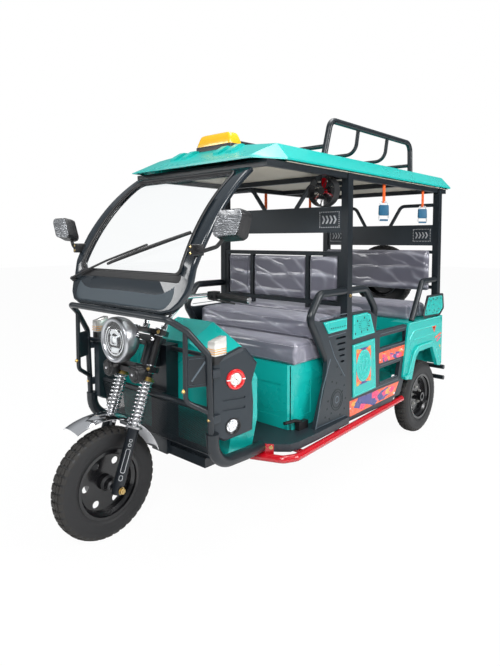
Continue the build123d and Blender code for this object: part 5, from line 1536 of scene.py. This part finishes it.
border_half = [
    (330, 1055), (388, 1070), (425, 1102), (447, 1142), (456, 1190), (463, 1290), (467, 1400), (458, 1560),
    (443, 1710),
]
border = dense([*border_half, *[(-x, z) for x, z in reversed(border_half)]])
turns = [2 * pi * i / 200 for i in range(200)]
section = (
    (0, 0, -28), (0, 0, -4), (0, 3, -0.5), (1, -14, 0), (1, -6, -1.5), (1, -1.5, -6), (1, 0, -13),
    (1, 0, -24), (1, -5, -29),
)
points = []
for which, inwards, out in section:
    for turn in turns:
        inner, outer = outline_at(window, turn), outline_at(border, turn)
        way = (outer - inner).normalized()
        spot = (outer if which else inner) + way * inwards
        points.append(screen_spot(spot.x, spot.y, out))
count = len(turns)
faces = [
    (
        r * count + i, r * count + (i + 1) % count, (r + 1) % len(section) * count + (i + 1) % count,
        (r + 1) % len(section) * count + i,
    )
    for r in range(len(section)) for i in range(count)
]
surround = mesh_of(points, faces)
tidy_mesh(surround)
piece(
    "windscreen_surround", painted(surround, frame_gloss), frame_gloss, "chassis",
    angle=50, replaced=("windscreen_frame",),
)


def screen_patch(low, high, half, corner, out, paint, rows=28, columns=30):
    """A raised field on the screen's face with rounded lower corners and a soft edge."""
    points, faces = [], []
    levels = [low + (high - low) * j / (rows - 1) for j in range(rows)]
    for lift in (out, None):
        for z in levels:
            near = max(0.0, 1 - (z - low) / corner) if corner else 0.0
            wide = half - corner * (1 - sqrt(max(0.0, 1 - near * near)))
            for i in range(columns + 1):
                share = -1 + 2 * i / columns
                edge = min(1.0, (1 - abs(share)) * wide / 5, (z - low) / 4, (high - z) / 4)
                points.append(screen_spot(wide * share, z, -2 if lift is None else lift * edge - 0.6))
    row, sheet = columns + 1, rows * (columns + 1)
    for j in range(rows - 1):
        for i in range(columns):
            a = j * row + i
            faces.append((a, a + 1, a + row + 1, a + row))
            faces.append((sheet + a, sheet + a + row, sheet + a + row + 1, sheet + a + 1))
    edge = list(range(row)) + [j * row + columns for j in range(1, rows)]
    edge += [(rows - 1) * row + i for i in range(columns - 1, -1, -1)] + [
        j * row for j in range(rows - 2, 0, -1)
    ]
    faces += [(a, b, sheet + b, sheet + a) for a, b in zip(edge, edge[1:] + edge[:1])]
    patch = mesh_of(points, faces)
    tidy_mesh(patch)
    return painted(patch, paint)


screen_meshes.append(screen_patch(1070, 1180, 396, 82, 4, slate_gloss))
screen_meshes.append(screen_patch(1183, 1219, 398, 0, 6, seal_rubber, 14))
add(screen_meshes, pipe([screen_spot(x, 1066, 1) for x in range(-300, 301, 30)], 0.0028, 8), frame_gloss)
piece(
    "windscreen_seal_and_field", joined(screen_meshes), [seal_rubber, slate_gloss, frame_gloss], "chassis",
    angle=50,
)

wiper_meshes = []
boss = frame_at(screen_spot(-436, 1164, 0), (1, 0, 0), (0, 0.403, 0.915), (0, -0.915, 0.403))
rows = [(-1, 0.3), (-1, 14), (9, 13), (14, 10), (22, 9), (24, 7), (25, 0.3)]
add(wiper_meshes, spun(rows, 20, boss), black_plastic)
arm = [
    screen_spot(-436, 1165, 20), screen_spot(-330, 1206, 20), screen_spot(-150, 1262, 16),
    screen_spot(120, 1338, 17),
]
add(wiper_meshes, pipe(rounded_path(arm, 0.05), 0.0075, 8, flat=0.7), black_plastic)
blade = [(-149 + 521 * i / 16, 1251 + 145 * i / 16) for i in range(17)]
add(wiper_meshes, pipe([screen_spot(x, z, 3.2) for x, z in blade], 0.0036, 6, flat=1.5), seal_rubber)
add(
    wiper_meshes,
    pipe(
        [screen_spot(x, z, 8 + 5 * sin(pi * i / 16)) for i, (x, z) in enumerate(blade)], 0.0058, 8,
        flat=1.2,
    ),
    black_plastic,
)
for i in (2, 6, 10, 14):
    x, z = blade[i]
    add(
        wiper_meshes, pipe([screen_spot(x, z, 2), screen_spot(x, z, 11 + 5 * sin(pi * i / 16))], 0.0055, 6),
        black_plastic,
    )
piece(
    "wiper_arm_and_blade", joined(wiper_meshes), [black_plastic, seal_rubber], "chassis",
    replaced=("wiper",),
)

# Door mirrors: a leaning housing with its thin crinkled wrap still on the front, glass behind.
crinkled_wrap = finish(
    "crinkled_silver_wrap", (0.42, 0.43, 0.45), 0.18, metal=0.7, coat=0.6, drift=0.5, patches=60, grain=60,
    bump=0.2,
)
wrap_nodes, wrap_links = crinkled_wrap.node_tree.nodes, crinkled_wrap.node_tree.links
wrap_folds = wrap_nodes.new("ShaderNodeGroup")
wrap_folds.node_tree = film_folds
set_inputs(wrap_folds, {"Stretch": (0.25, 1.0, 1.6), "Fold scale": 24, "Crease scale": 38, "Sharpness": 2})
wrap_bump = wrap_nodes.new("ShaderNodeBump")
set_inputs(wrap_bump, {"Strength": 1.0, "Distance": 0.004})
wrap_links.new(wrap_folds.outputs["Height"], wrap_bump.inputs["Height"])
wrap_links.new(wrap_bump.outputs[0], wrap_nodes["Principled BSDF"].inputs["Normal"])
mirror_glass = finish(
    "mirror_glass", (0.80, 0.82, 0.84), 0.03, metal=1.0, drift=0.04, grain=40, bump=0.0, change=0.02,
)
mirror_meshes = []
for side in (-1, 1):
    face = [(598, 1487), (734, 1487), (694, 1384), (548, 1377)]
    rear = [(600, 1480), (728, 1480), (700, 1366), (546, 1356)]
    sections = []
    for d, outline, shrink in (
        (158, face, 6), (155, face, 0), (162, face, -1), (200, rear, -1), (216, rear, 6), (217, rear, 12),
    ):
        middle = Vector((sum(p[0] for p in outline) / 4, sum(p[1] for p in outline) / 4))
        shaped = []
        for p in soft_outline(outline, 22, 6):
            way = Vector(p) - middle
            q = middle + way * (1 - shrink / way.length)
            shaped.append(at(side * q.x, d, q.y))
        sections.append(shaped)
    count = len(sections[0])
    points = [p for s in sections for p in s]
    faces = [
        (r * count + i, r * count + (i + 1) % count, (r + 1) * count + (i + 1) % count, (r + 1) * count + i)
        for r in range(len(sections) - 1) for i in range(count)
    ]
    faces += [tuple(range(count)), tuple(range((len(sections) - 1) * count, len(sections) * count))]
    shell = mesh_of(points, faces)
    tidy_mesh(shell)
    add(mirror_meshes, shell, black_plastic)
    for place, outline, inset, paint, low, high in (
        (frame_at(at(0, 157, 0), (side, 0, 0), (0, 0, 1), (0, -1, 0)), face, 3, crinkled_wrap, 0, 7),
        (frame_at(at(0, 216.5, 0), (side, 0, 0), (0, 0, 1), (0, 1, 0)), rear, 14, mirror_glass, 0, 1.5),
    ):
        middle = Vector((sum(p[0] for p in outline) / 4, sum(p[1] for p in outline) / 4))
        shaped = []
        for p in soft_outline(outline, 22, 6):
            way = Vector(p) - middle
            shaped.append(tuple(middle + way * (1 - inset / way.length)))
        add(mirror_meshes, plate(shaped, place, low, high, 2, 3), paint)
    arm = [
        at(side * 452, 152, 1326), at(side * 500, 158, 1322), at(side * 560, 178, 1340),
        at(side * 590, 186, 1372),
    ]
    add(mirror_meshes, pipe(rounded_path(arm, 0.03), 0.0085, 12), black_plastic)
    clamp = frame_at(at(side * 455, 134, 1326), (1, 0, 0), (0, 0, 1), (0, -1, 0))
    jaw = soft_outline([(-16, -24), (16, -24), (16, 24), (-16, 24)], 6)
    add(mirror_meshes, plate(jaw, clamp, -56, 5, 3), black_plastic)
    for z in (-13, 13):
        screw = clamp @ Matrix.Translation((0, z / 1000, 0.005))
        add(mirror_meshes, spun([(-1, 0.3), (-1, 6), (2.5, 6), (4.5, 4), (4.5, 0.3)], 6, screw), brass)
piece(
    "door_mirrors", joined(mirror_meshes), [black_plastic, crinkled_wrap, mirror_glass, brass], "chassis",
    replaced=("mirrors",),
)

# Roof: a yellow lamp box on a black foot at the nose, and four orange webbing straps on the
# rails, each with a blue grip in a silver frame.
lamp_yellow = finish("lamp_box_yellow", (0.86, 0.46, 0.004), 0.24, coat=0.5, drift=0.1, grain=240, bump=0.06)
low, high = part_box("roof_lamp")
middle = [(low[i] + high[i]) / 2 for i in range(3)]
half = [(high[i] - low[i]) / 2 * 1000 for i in range(3)]
lamp_frame = frame_at((middle[0], middle[1], low[2]), (1, 0, 0), (0, 1, 0), (0, 0, 1))
tall = (high[2] - low[2]) * 1000
roof_meshes = []
corners = [(-half[0], -half[1]), (half[0], -half[1]), (half[0], half[1]), (-half[0], half[1])]
add(roof_meshes, plate(soft_outline(corners, 14), lamp_frame, -1, tall * 0.30, 3), black_plastic)
levels = (
    (0.26, 0.97, 0.95), (0.34, 0.975, 0.96), (0.70, 0.90, 0.80), (0.88, 0.85, 0.70), (0.96, 0.80, 0.60),
    (1.0, 0.70, 0.44),
)
sections = []
for z, wide, deep in levels:
    shaped = soft_outline([(u * wide, v * deep) for u, v in corners], 16, 6)
    sections.append([lamp_frame @ Vector((u / 1000, v / 1000, tall * z / 1000)) for u, v in shaped])
count = len(sections[0])
faces = [
    (r * count + i, r * count + (i + 1) % count, (r + 1) * count + (i + 1) % count, (r + 1) * count + i)
    for r in range(len(sections) - 1) for i in range(count)
]
faces += [tuple(range(count)), tuple(range((len(sections) - 1) * count, len(sections) * count))]
box = mesh_of([p for s in sections for p in s], faces)
tidy_mesh(box)
add(roof_meshes, box, lamp_yellow)
piece(
    "roof_lamp_box", joined(roof_meshes), [black_plastic, lamp_yellow], "chassis", angle=50,
    replaced=("roof_lamp",),
)

webbing = finish("orange_webbing", (0.80, 0.115, 0.010), 0.7, drift=0.2, patches=40, grain=900, bump=0.35)
strap_blue = finish(
    "blue_grip_sleeve", (0.004, 0.085, 0.17), 0.4, coat=0.2, drift=0.2, patches=30, grain=500, bump=0.15,
)
strap_silver = finish(
    "strap_frame_silver", (0.62, 0.64, 0.66), 0.3, metal=0.6, drift=0.1, grain=300, bump=0.08,
)
weave_nodes, weave_links = webbing.node_tree.nodes, webbing.node_tree.links
weave = weave_nodes.new("ShaderNodeTexWave")
weave.bands_direction = "Z"
set_inputs(weave, {"Scale": 180, "Distortion": 0.4})
weave_place = weave_nodes.new("ShaderNodeTexCoord")
weave_bump = weave_nodes.new("ShaderNodeBump")
set_inputs(weave_bump, {"Strength": 0.6, "Distance": 0.0008})
weave_links.new(weave_place.outputs["Object"], weave.inputs["Vector"])
weave_links.new(weave.outputs["Fac"], weave_bump.inputs["Height"])
weave_links.new(weave_nodes["Grain"].outputs[0], weave_bump.inputs["Normal"])
weave_links.new(weave_bump.outputs[0], weave_nodes["Principled BSDF"].inputs["Normal"])
strap_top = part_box("grab_straps")[1][2] * 1000
STRAP_X = BODY_HALF - 23
strap_meshes = []
for side in (-1, 1):
    for d in (1700, 2255):
        face = frame_at(at(side * STRAP_X, d, 0), (0, 1, 0), (0, 0, 1), (side, 0, 0))
        band = [(-13, 1598), (13, 1598), (13, strap_top), (-13, strap_top)]
        add(strap_meshes, plate(band, face, 0.5, 3, 0.4), webbing)
        add(strap_meshes, plate(band, face, -3, -0.5, 0.4), webbing)
        add(
            strap_meshes,
            plate([(-13.5, 1640), (13.5, 1640), (13.5, 1646), (-13.5, 1646)], face, -4, 4, 0.4), webbing,
        )
        face = face @ Matrix.Rotation(radians(-38), 4, "Y")
        loop = soft_outline([(-32, 1492), (32, 1492), (24, 1604), (-24, 1604)], 8)
        bar = [face @ Vector((u / 1000, v / 1000, 0)) for u, v in loop]
        add(strap_meshes, pipe(bar, 0.0034, 8, closed=True), strap_silver)
        sleeve = soft_outline([(-33, 1520), (33, 1520), (31, 1586), (-31, 1586)], 8)
        add(strap_meshes, plate(sleeve, face, -6, 6, 2.4, 3), strap_blue)
        grip = [face @ Vector((u / 1000, 1.492, 0)) for u in range(-27, 28, 6)]
        add(strap_meshes, pipe(grip, 0.0062, 10), strap_blue)
piece(
    "hand_straps", joined(strap_meshes), [webbing, strap_silver, strap_blue], "chassis",
    replaced=("grab_straps",),
)

# Fascia boards: chevrons in a border of small punched dots, edged pale where the sheet is cut.
board_meshes, board_dots = [], []
for d, z in ((1263.6, 1485), (2491.6, 1404)):
    face = frame_at(at(0, d, z), (1, 0, 0), (0, 0, 1), (0, -1, 0))
    for side in (-1, 1):
        for i in range(4):
            x = side * (330 + 26 * i)
            chevron = [(x - 9, 23), (x + 1, 23), (x + 13, 0), (x + 1, -23), (x - 9, -23), (x + 3, 0)]
            inner = [(x - 6, 20), (x - 1, 20), (x + 10, 0), (x - 1, -20), (x - 6, -20), (x + 5, 0)]
            board_meshes.append(ring_band(inner, chevron, face, -19, 1.2, 0.3))
        dots = [(306 + 12 * i, v) for i in range(12) for v in (-44, 44)] + [
            (u, 12 * i) for i in range(-3, 4) for u in (306, 438)
        ]
        board_dots += [(at(side * u, d, z + v), (0, -1, 0)) for u, v in dots]
piece("fascia_cut_edges", painted(joined(board_meshes), pale_line), pale_line, "chassis")
upright = Matrix.Rotation(radians(-90), 4, "Y")
dot = held(moved(turned([(0.0, 0.0001), (0.0008, 0.0001), (0.0008, 0.0029), (0.0, 0.0030)], 10), upright))
fixings("fascia_dots", dot, board_dots, pale_line, "chassis")

# Side panels and coloured inserts: pressed beads, dimples and a ring ornament, with printed
# vinyl decals stuck on. The beads are painted lighter than their panels as painted highlights, and
# the dimples and the ring's grooves are dark as painted shade. The decals are plain shards and
# diamonds in orange, magenta, navy and gold.


def vinyl(name, colour, drift=0.1):
    """Glossy printed vinyl in one ink."""
    return finish(name, colour, 0.28, coat=0.5, drift=drift, patches=14, grain=600, bump=0.04)


decal_orange = vinyl("decal_orange", (0.86, 0.085, 0.012), 0.12)
decal_magenta = vinyl("decal_magenta", (0.70, 0.020, 0.130))
decal_navy = vinyl("decal_navy", (0.022, 0.022, 0.190))
decal_gold = vinyl("decal_gold", (0.62, 0.270, 0.020))
decal_pale = vinyl("decal_pale", (0.70, 0.62, 0.66))
# a lighter teal for the pressed beads, rings and rosette: painted highlight where they catch the light
painted_teal_highlight = finish("teal_painted_highlight", (0.05, 0.56, 0.50), 0.22, coat=0.5, drift=0.1, grain=200, bump=0.04)
# a near black for the painted shade in dimples and grooves; the printed ticks and strokes use it as ink
dimple_dark = finish("dimple_shade", (0.004, 0.008, 0.009), 0.6, drift=0.1, grain=500, bump=0.1)


def side_matrix(side, out=0.0):
    """The outer face of the side panels: X is the distance back, Y up, Z outwards."""
    return frame_at(at(side * (BODY_HALF + out), 0, 0), (0, 1, 0), (0, 0, 1), (side, 0, 0))


def bead(path, side, out, radius, bend=8, closed=False):
    """A raised round line pressed in a side, open or closed, from distances back and heights."""
    points = [at(side * (BODY_HALF + out), d, z) for d, z in (soft_outline(path, bend) if closed else path)]
    return pipe(points if closed else rounded_path(points, bend / 1000), radius / 1000, 8, closed=closed)


def oval(middle, wide, tall):
    """An ellipse's outline from its middle and its two radii."""
    turns = [i * pi / 24 for i in range(48)]
    return [(middle[0] + wide * cos(a), middle[1] + tall * sin(a)) for a in turns]


def cut_to(outline, shape):
    """A convex shape cut to a convex outline, both running the same way round."""
    result = list(shape)
    area = sum(a[0] * b[1] - b[0] * a[1] for a, b in zip(outline, outline[1:] + outline[:1]))
    sign = 1 if area > 0 else -1
    for (a, b), (c, d) in zip(outline, outline[1:] + outline[:1]):
        kept = []
        for (u, v), (u2, v2) in zip(result, result[1:] + result[:1]):
            here = sign * ((c - a) * (v - b) - (d - b) * (u - a))
            there = sign * ((c - a) * (v2 - b) - (d - b) * (u2 - a))
            if here >= 0:
                kept.append((u, v))
            if (here > 0) != (there > 0) and abs(here - there) > 1e-9:
                t = here / (here - there)
                kept.append((u + (u2 - u) * t, v + (v2 - v) * t))
        result = kept
        if len(result) < 3:
            return []
    return result


def decal_band(outline, place, seed, pitch=34):
    """An orange band with shards and diamonds scattered along it."""
    draw = random.Random(seed)
    meshes = [painted(plate(outline, place, 0.1, 0.7, 0), decal_orange)]
    us, vs = [p[0] for p in outline], [p[1] for p in outline]
    middle, tall = (min(vs) + max(vs)) / 2, max(vs) - min(vs)
    level = 0.7
    u = min(us) + pitch * 0.4
    while u < max(us):
        near = 1 - abs(2 * (u - min(us)) / (max(us) - min(us)) - 1)
        rows = (
            (decal_gold, 0.40, 0.45 - 0.3 * near), (decal_navy, 0.66, near),
            (decal_magenta, 0.42, 0.2 + 0.8 * near), (decal_pale, 0.11, 0.5),
        )
        for paint, size, chance in rows:
            if draw.random() < chance:
                r = tall * size * draw.uniform(0.7, 1.15)
                turn = draw.uniform(0, pi)
                v = middle + draw.uniform(-0.28, 0.28) * tall
                shift = draw.uniform(-0.5, 0.5) * pitch
                corners = draw.choice((3, 4, 4, 5))
                shape = [
                    (
                        u + shift + r * cos(turn + 2 * pi * i / corners) * 1.2,
                        v + r * 0.62 * sin(turn + 2 * pi * i / corners),
                    )
                    for i in range(corners)
                ]
                shape = cut_to(outline, shape)
                if len(shape) >= 3:
                    add(meshes, plate(shape, place, level, level + 0.05, 0), paint)
                    level += 0.012
        u += pitch
    return meshes


side_trim, side_dimples, side_bolts = [], [], []
for side in (-1, 1):
    wall = side_matrix(side)
    insert = side_matrix(side, 6)
    upper = [(1322, 930), (1460, 932), (1497, 918), (1546, 812), (1322, 810)]
    door = [(1324, 758), (1551, 763), (1568, 473), (1330, 469)]
    arm = [(1022, 924), (1234, 927), (1234, 874), (1066, 871)]
    hoop = [(2245, 840), (2312, 958), (2549, 957), (2562, 868), (2502, 832)]
    # the beads round the inserts and the hoop are in the lighter teal of a painted highlight
    for outline in (upper, door, arm, hoop):
        add(side_trim, bead(outline, side, 6, 2.6, 8, True), painted_teal_highlight)
    # ring medallion on the door panel: two raised rings, a scalloped ring and a rosette, all in the lighter
    # teal of a painted highlight
    u0, v0 = 1433, 628
    for r, wide in ((1.0, 7), (0.80, 4), (0.34, 4)):
        outer = oval((u0, v0), 78 * r, 92 * r)
        inner = oval((u0, v0), 78 * r - wide, 92 * r - wide)
        add(side_trim, ring_band(inner, outer, insert, 0, 3, 1.2), painted_teal_highlight)
    for i in range(12):
        a = i * pi / 6
        petal = []
        for k in range(16):
            b = k * pi / 8
            along, across = 0.57 + 0.16 * cos(b), 0.10 * sin(b)
            ux, vx = along * cos(a) - across * sin(a), along * sin(a) + across * cos(a)
            petal.append((u0 + 78 * ux, v0 + 92 * vx))
        add(side_trim, pipe([at(side * 511.4, u, v) for u, v in petal], 0.0014, 6, closed=True), painted_teal_highlight)
    # printed corners round the medallion
    for u, v, su, sv in ((1346, 735, 1, -1), (1511, 737, -1, -1), (1517, 523, -1, 1), (1351, 518, 1, 1)):
        start = atan2(-sv, -su)
        arc = [
            (u0 + 84 * cos(start + k * 0.124), v0 + 98 * sin(start + k * 0.124))
            for k in (-5, -3, -1, 1, 3, 5)
        ]
        corner = [(u, v)] + sorted(arc, key=lambda p: atan2(p[1] - v, p[0] - u))
        add(side_trim, plate(corner, insert, 0.1, 0.6, 0), decal_orange)
        patch = [(u, v), (u + su * 26, v), (u + su * 30, v + sv * 26), (u, v + sv * 20)]
        add(side_trim, plate(patch, insert, 0.6, 0.8, 0), decal_gold)
    for sv, v in ((-1, 736), (1, 520)):
        wedge = [(u0 - 46, v), (u0 + 46, v), (u0 + 20, v + sv * 14), (u0 - 20, v + sv * 14)]
        add(side_trim, plate(wedge, insert, 0.2, 0.9, 0), decal_navy)
    # decal bands on the rear panel's rails, the sill and the rear body
    side_trim += decal_band([(1627, 605), (1991, 600), (1991, 674), (1625, 670)], wall, 11, 40)
    side_trim += decal_band([(1290, 352), (1831, 365), (1893, 440), (1288, 443)], wall, 23, 46)
    tail = side_matrix(side, 12)
    for shape, paint in (
        ([(2376, 748), (2446, 746), (2412, 700)], decal_orange),
        ([(2392, 742), (2422, 741), (2408, 716)], decal_navy),
        ([(2424, 664), (2436, 652), (2540, 674), (2536, 687)], decal_orange),
        ([(2456, 634), (2468, 624), (2530, 654), (2526, 667)], decal_magenta),
        ([(2500, 594), (2513, 582), (2530, 552), (2526, 600)], decal_gold),
    ):
        add(side_trim, plate(shape, tail, 0.1, 0.7, 0), paint)
    # pressed lines in the slate panel and beads on the rear body, each painted lighter than its panel as a
    # painted highlight
    for line, radius in (
        (((992, 952), (1249, 956)), 2.2), (((1066, 846), (1240, 850)), 2.2),
        (((1075, 826), (1127, 729), (1234, 600)), 2.4),
        (((953, 366), (1013, 562), (1087, 723)), 3.0), (((960, 372), (1240, 372)), 2.0),
        (((1637, 786), (1980, 788)), 2.2), (((1637, 690), (1985, 692)), 2.2),
        (((1637, 588), (1912, 590)), 2.2),
        (((1637, 482), (1868, 484)), 2.2), (((1300, 458), (1880, 458)), 2.2),
    ):
        add(side_trim, bead(line, side, 0, radius), painted_slate_highlight)
    for line, radius, out in (
        (((2016, 700), (2084, 753), (2521, 753)), 4.5, 12),
        (((2014, 800), (2020, 810), (2505, 806)), 3.5, 12),
        (((2080, 690), (2330, 694), (2420, 690), (2520, 696)), 2.5, 12),
        (((1982, 470), (2068, 600), (2130, 640), (2368, 642), (2480, 480)), 4.0, 25),
    ):
        add(side_trim, bead(line, side, out, radius, 20), painted_teal_highlight)
    # ring ornament pressed into the slate panel: its two outer rings dark as painted shade in the grooves,
    # the small middle ring lighter as a painted highlight
    for r, paint in ((60, dimple_dark), (46, dimple_dark), (20, painted_slate_highlight)):
        outer = round_outline((1155, 483), r, 40)
        inner = round_outline((1155, 483), r - 4.5, 40)
        add(side_trim, ring_band(inner, outer, wall, 0, 1.2, 0.5), paint)
    dots = [
        (1156, 667), (1106, 593), (1229, 549), (1069, 493), (1043, 410), (1243, 473), (1139, 373),
        (1082, 393), (1232, 416),
        (1150, 578), (1197, 616), (1188, 392), (1100, 420), (1212, 520), (1060, 452),
    ]
    side_dimples += [(at(side * BODY_HALF, d, z), (side, 0, 0)) for d, z in dots]
    dots = [
        (1324, 881), (1355, 901), (1432, 913), (1493, 889), (1487, 858), (1335, 829), (1402, 832),
        (1471, 836),
    ]
    dots += [
        (2290, 868), (2320, 901), (2413, 902), (2520, 905), (2340, 867), (2500, 866), (2360, 935),
        (2450, 937), (2420, 860),
    ]
    dots += [
        (2298, 930), (2330, 944), (2400, 944), (2470, 944), (2530, 940), (2290, 850), (2400, 846),
        (2470, 846),
    ]
    side_dimples += [(at(side * (BODY_HALF + 6), d, z), (side, 0, 0)) for d, z in dots]
    for d, z in ((1284, 1053), (1026, 333), (1232, 333)):
        side_bolts.append((at(side * BODY_HALF, d, z), (side, 0, 0)))
    # small printed marks on the arm insert and two rings of strokes on the upper one
    for u in range(1080, 1225, 18):
        tick = [(u, 886), (u + 9, 886), (u + 12, 892), (u + 3, 892)]
        add(side_trim, plate(tick, insert, 0.1, 0.5, 0), dimple_dark)
    for r, count in ((44, 18), (32, 14)):
        for i in range(count):
            a = 2 * pi * i / count
            c, s = cos(a), sin(a)
            stroke = [
                (1428 + (r + out) * c * 1.25 + wide * s, 872 + (r + out) * s * 0.78 - wide * c)
                for out, wide in ((-3, -2), (3, -2), (3, 2), (-3, 2))
            ]
            add(side_trim, plate(stroke, insert, 0.1, 0.6, 0), dimple_dark)
    # sill strip under the rear panel and the dark frame round the hoop's insert
    sill = [(1246, 327), (1806, 327), (1836, 351), (1246, 351)]
    add(side_trim, plate(sill, side_matrix(side, -4), 0, 4, 1), slate_moulding)
    outer = soft_outline([(2222, 826), (2300, 976), (2566, 975), (2584, 862), (2514, 816)], 14)
    inner = soft_outline([(2240, 836), (2309, 962), (2553, 961), (2568, 868), (2505, 828)], 14)
    add(side_trim, ring_band(inner, outer, side_matrix(side, 0), 0, 12, 3), slate_coat)
piece(
    "side_panel_trim_and_decals", joined(side_trim),
    [
        painted_teal_highlight, decal_orange, decal_gold, decal_navy, decal_magenta, decal_pale, painted_slate_highlight,
        dimple_dark, slate_moulding, slate_coat,
    ],
    "chassis",
)
# the dimples are raised dark discs: painted shade where the pressed hollows are
dimple_rows = [
    (0.0, 0.0001), (0.0006, 0.0001), (0.0007, 0.0042), (0.0011, 0.0050), (0.0007, 0.0060), (0.0, 0.0062),
]
dimple = held(moved(turned(dimple_rows, 10), upright))
fixings("side_panel_dimples", dimple, side_dimples, dimple_dark, "chassis")
fixings("side_panel_bolts", small_bolt, side_bolts, brass, "chassis")
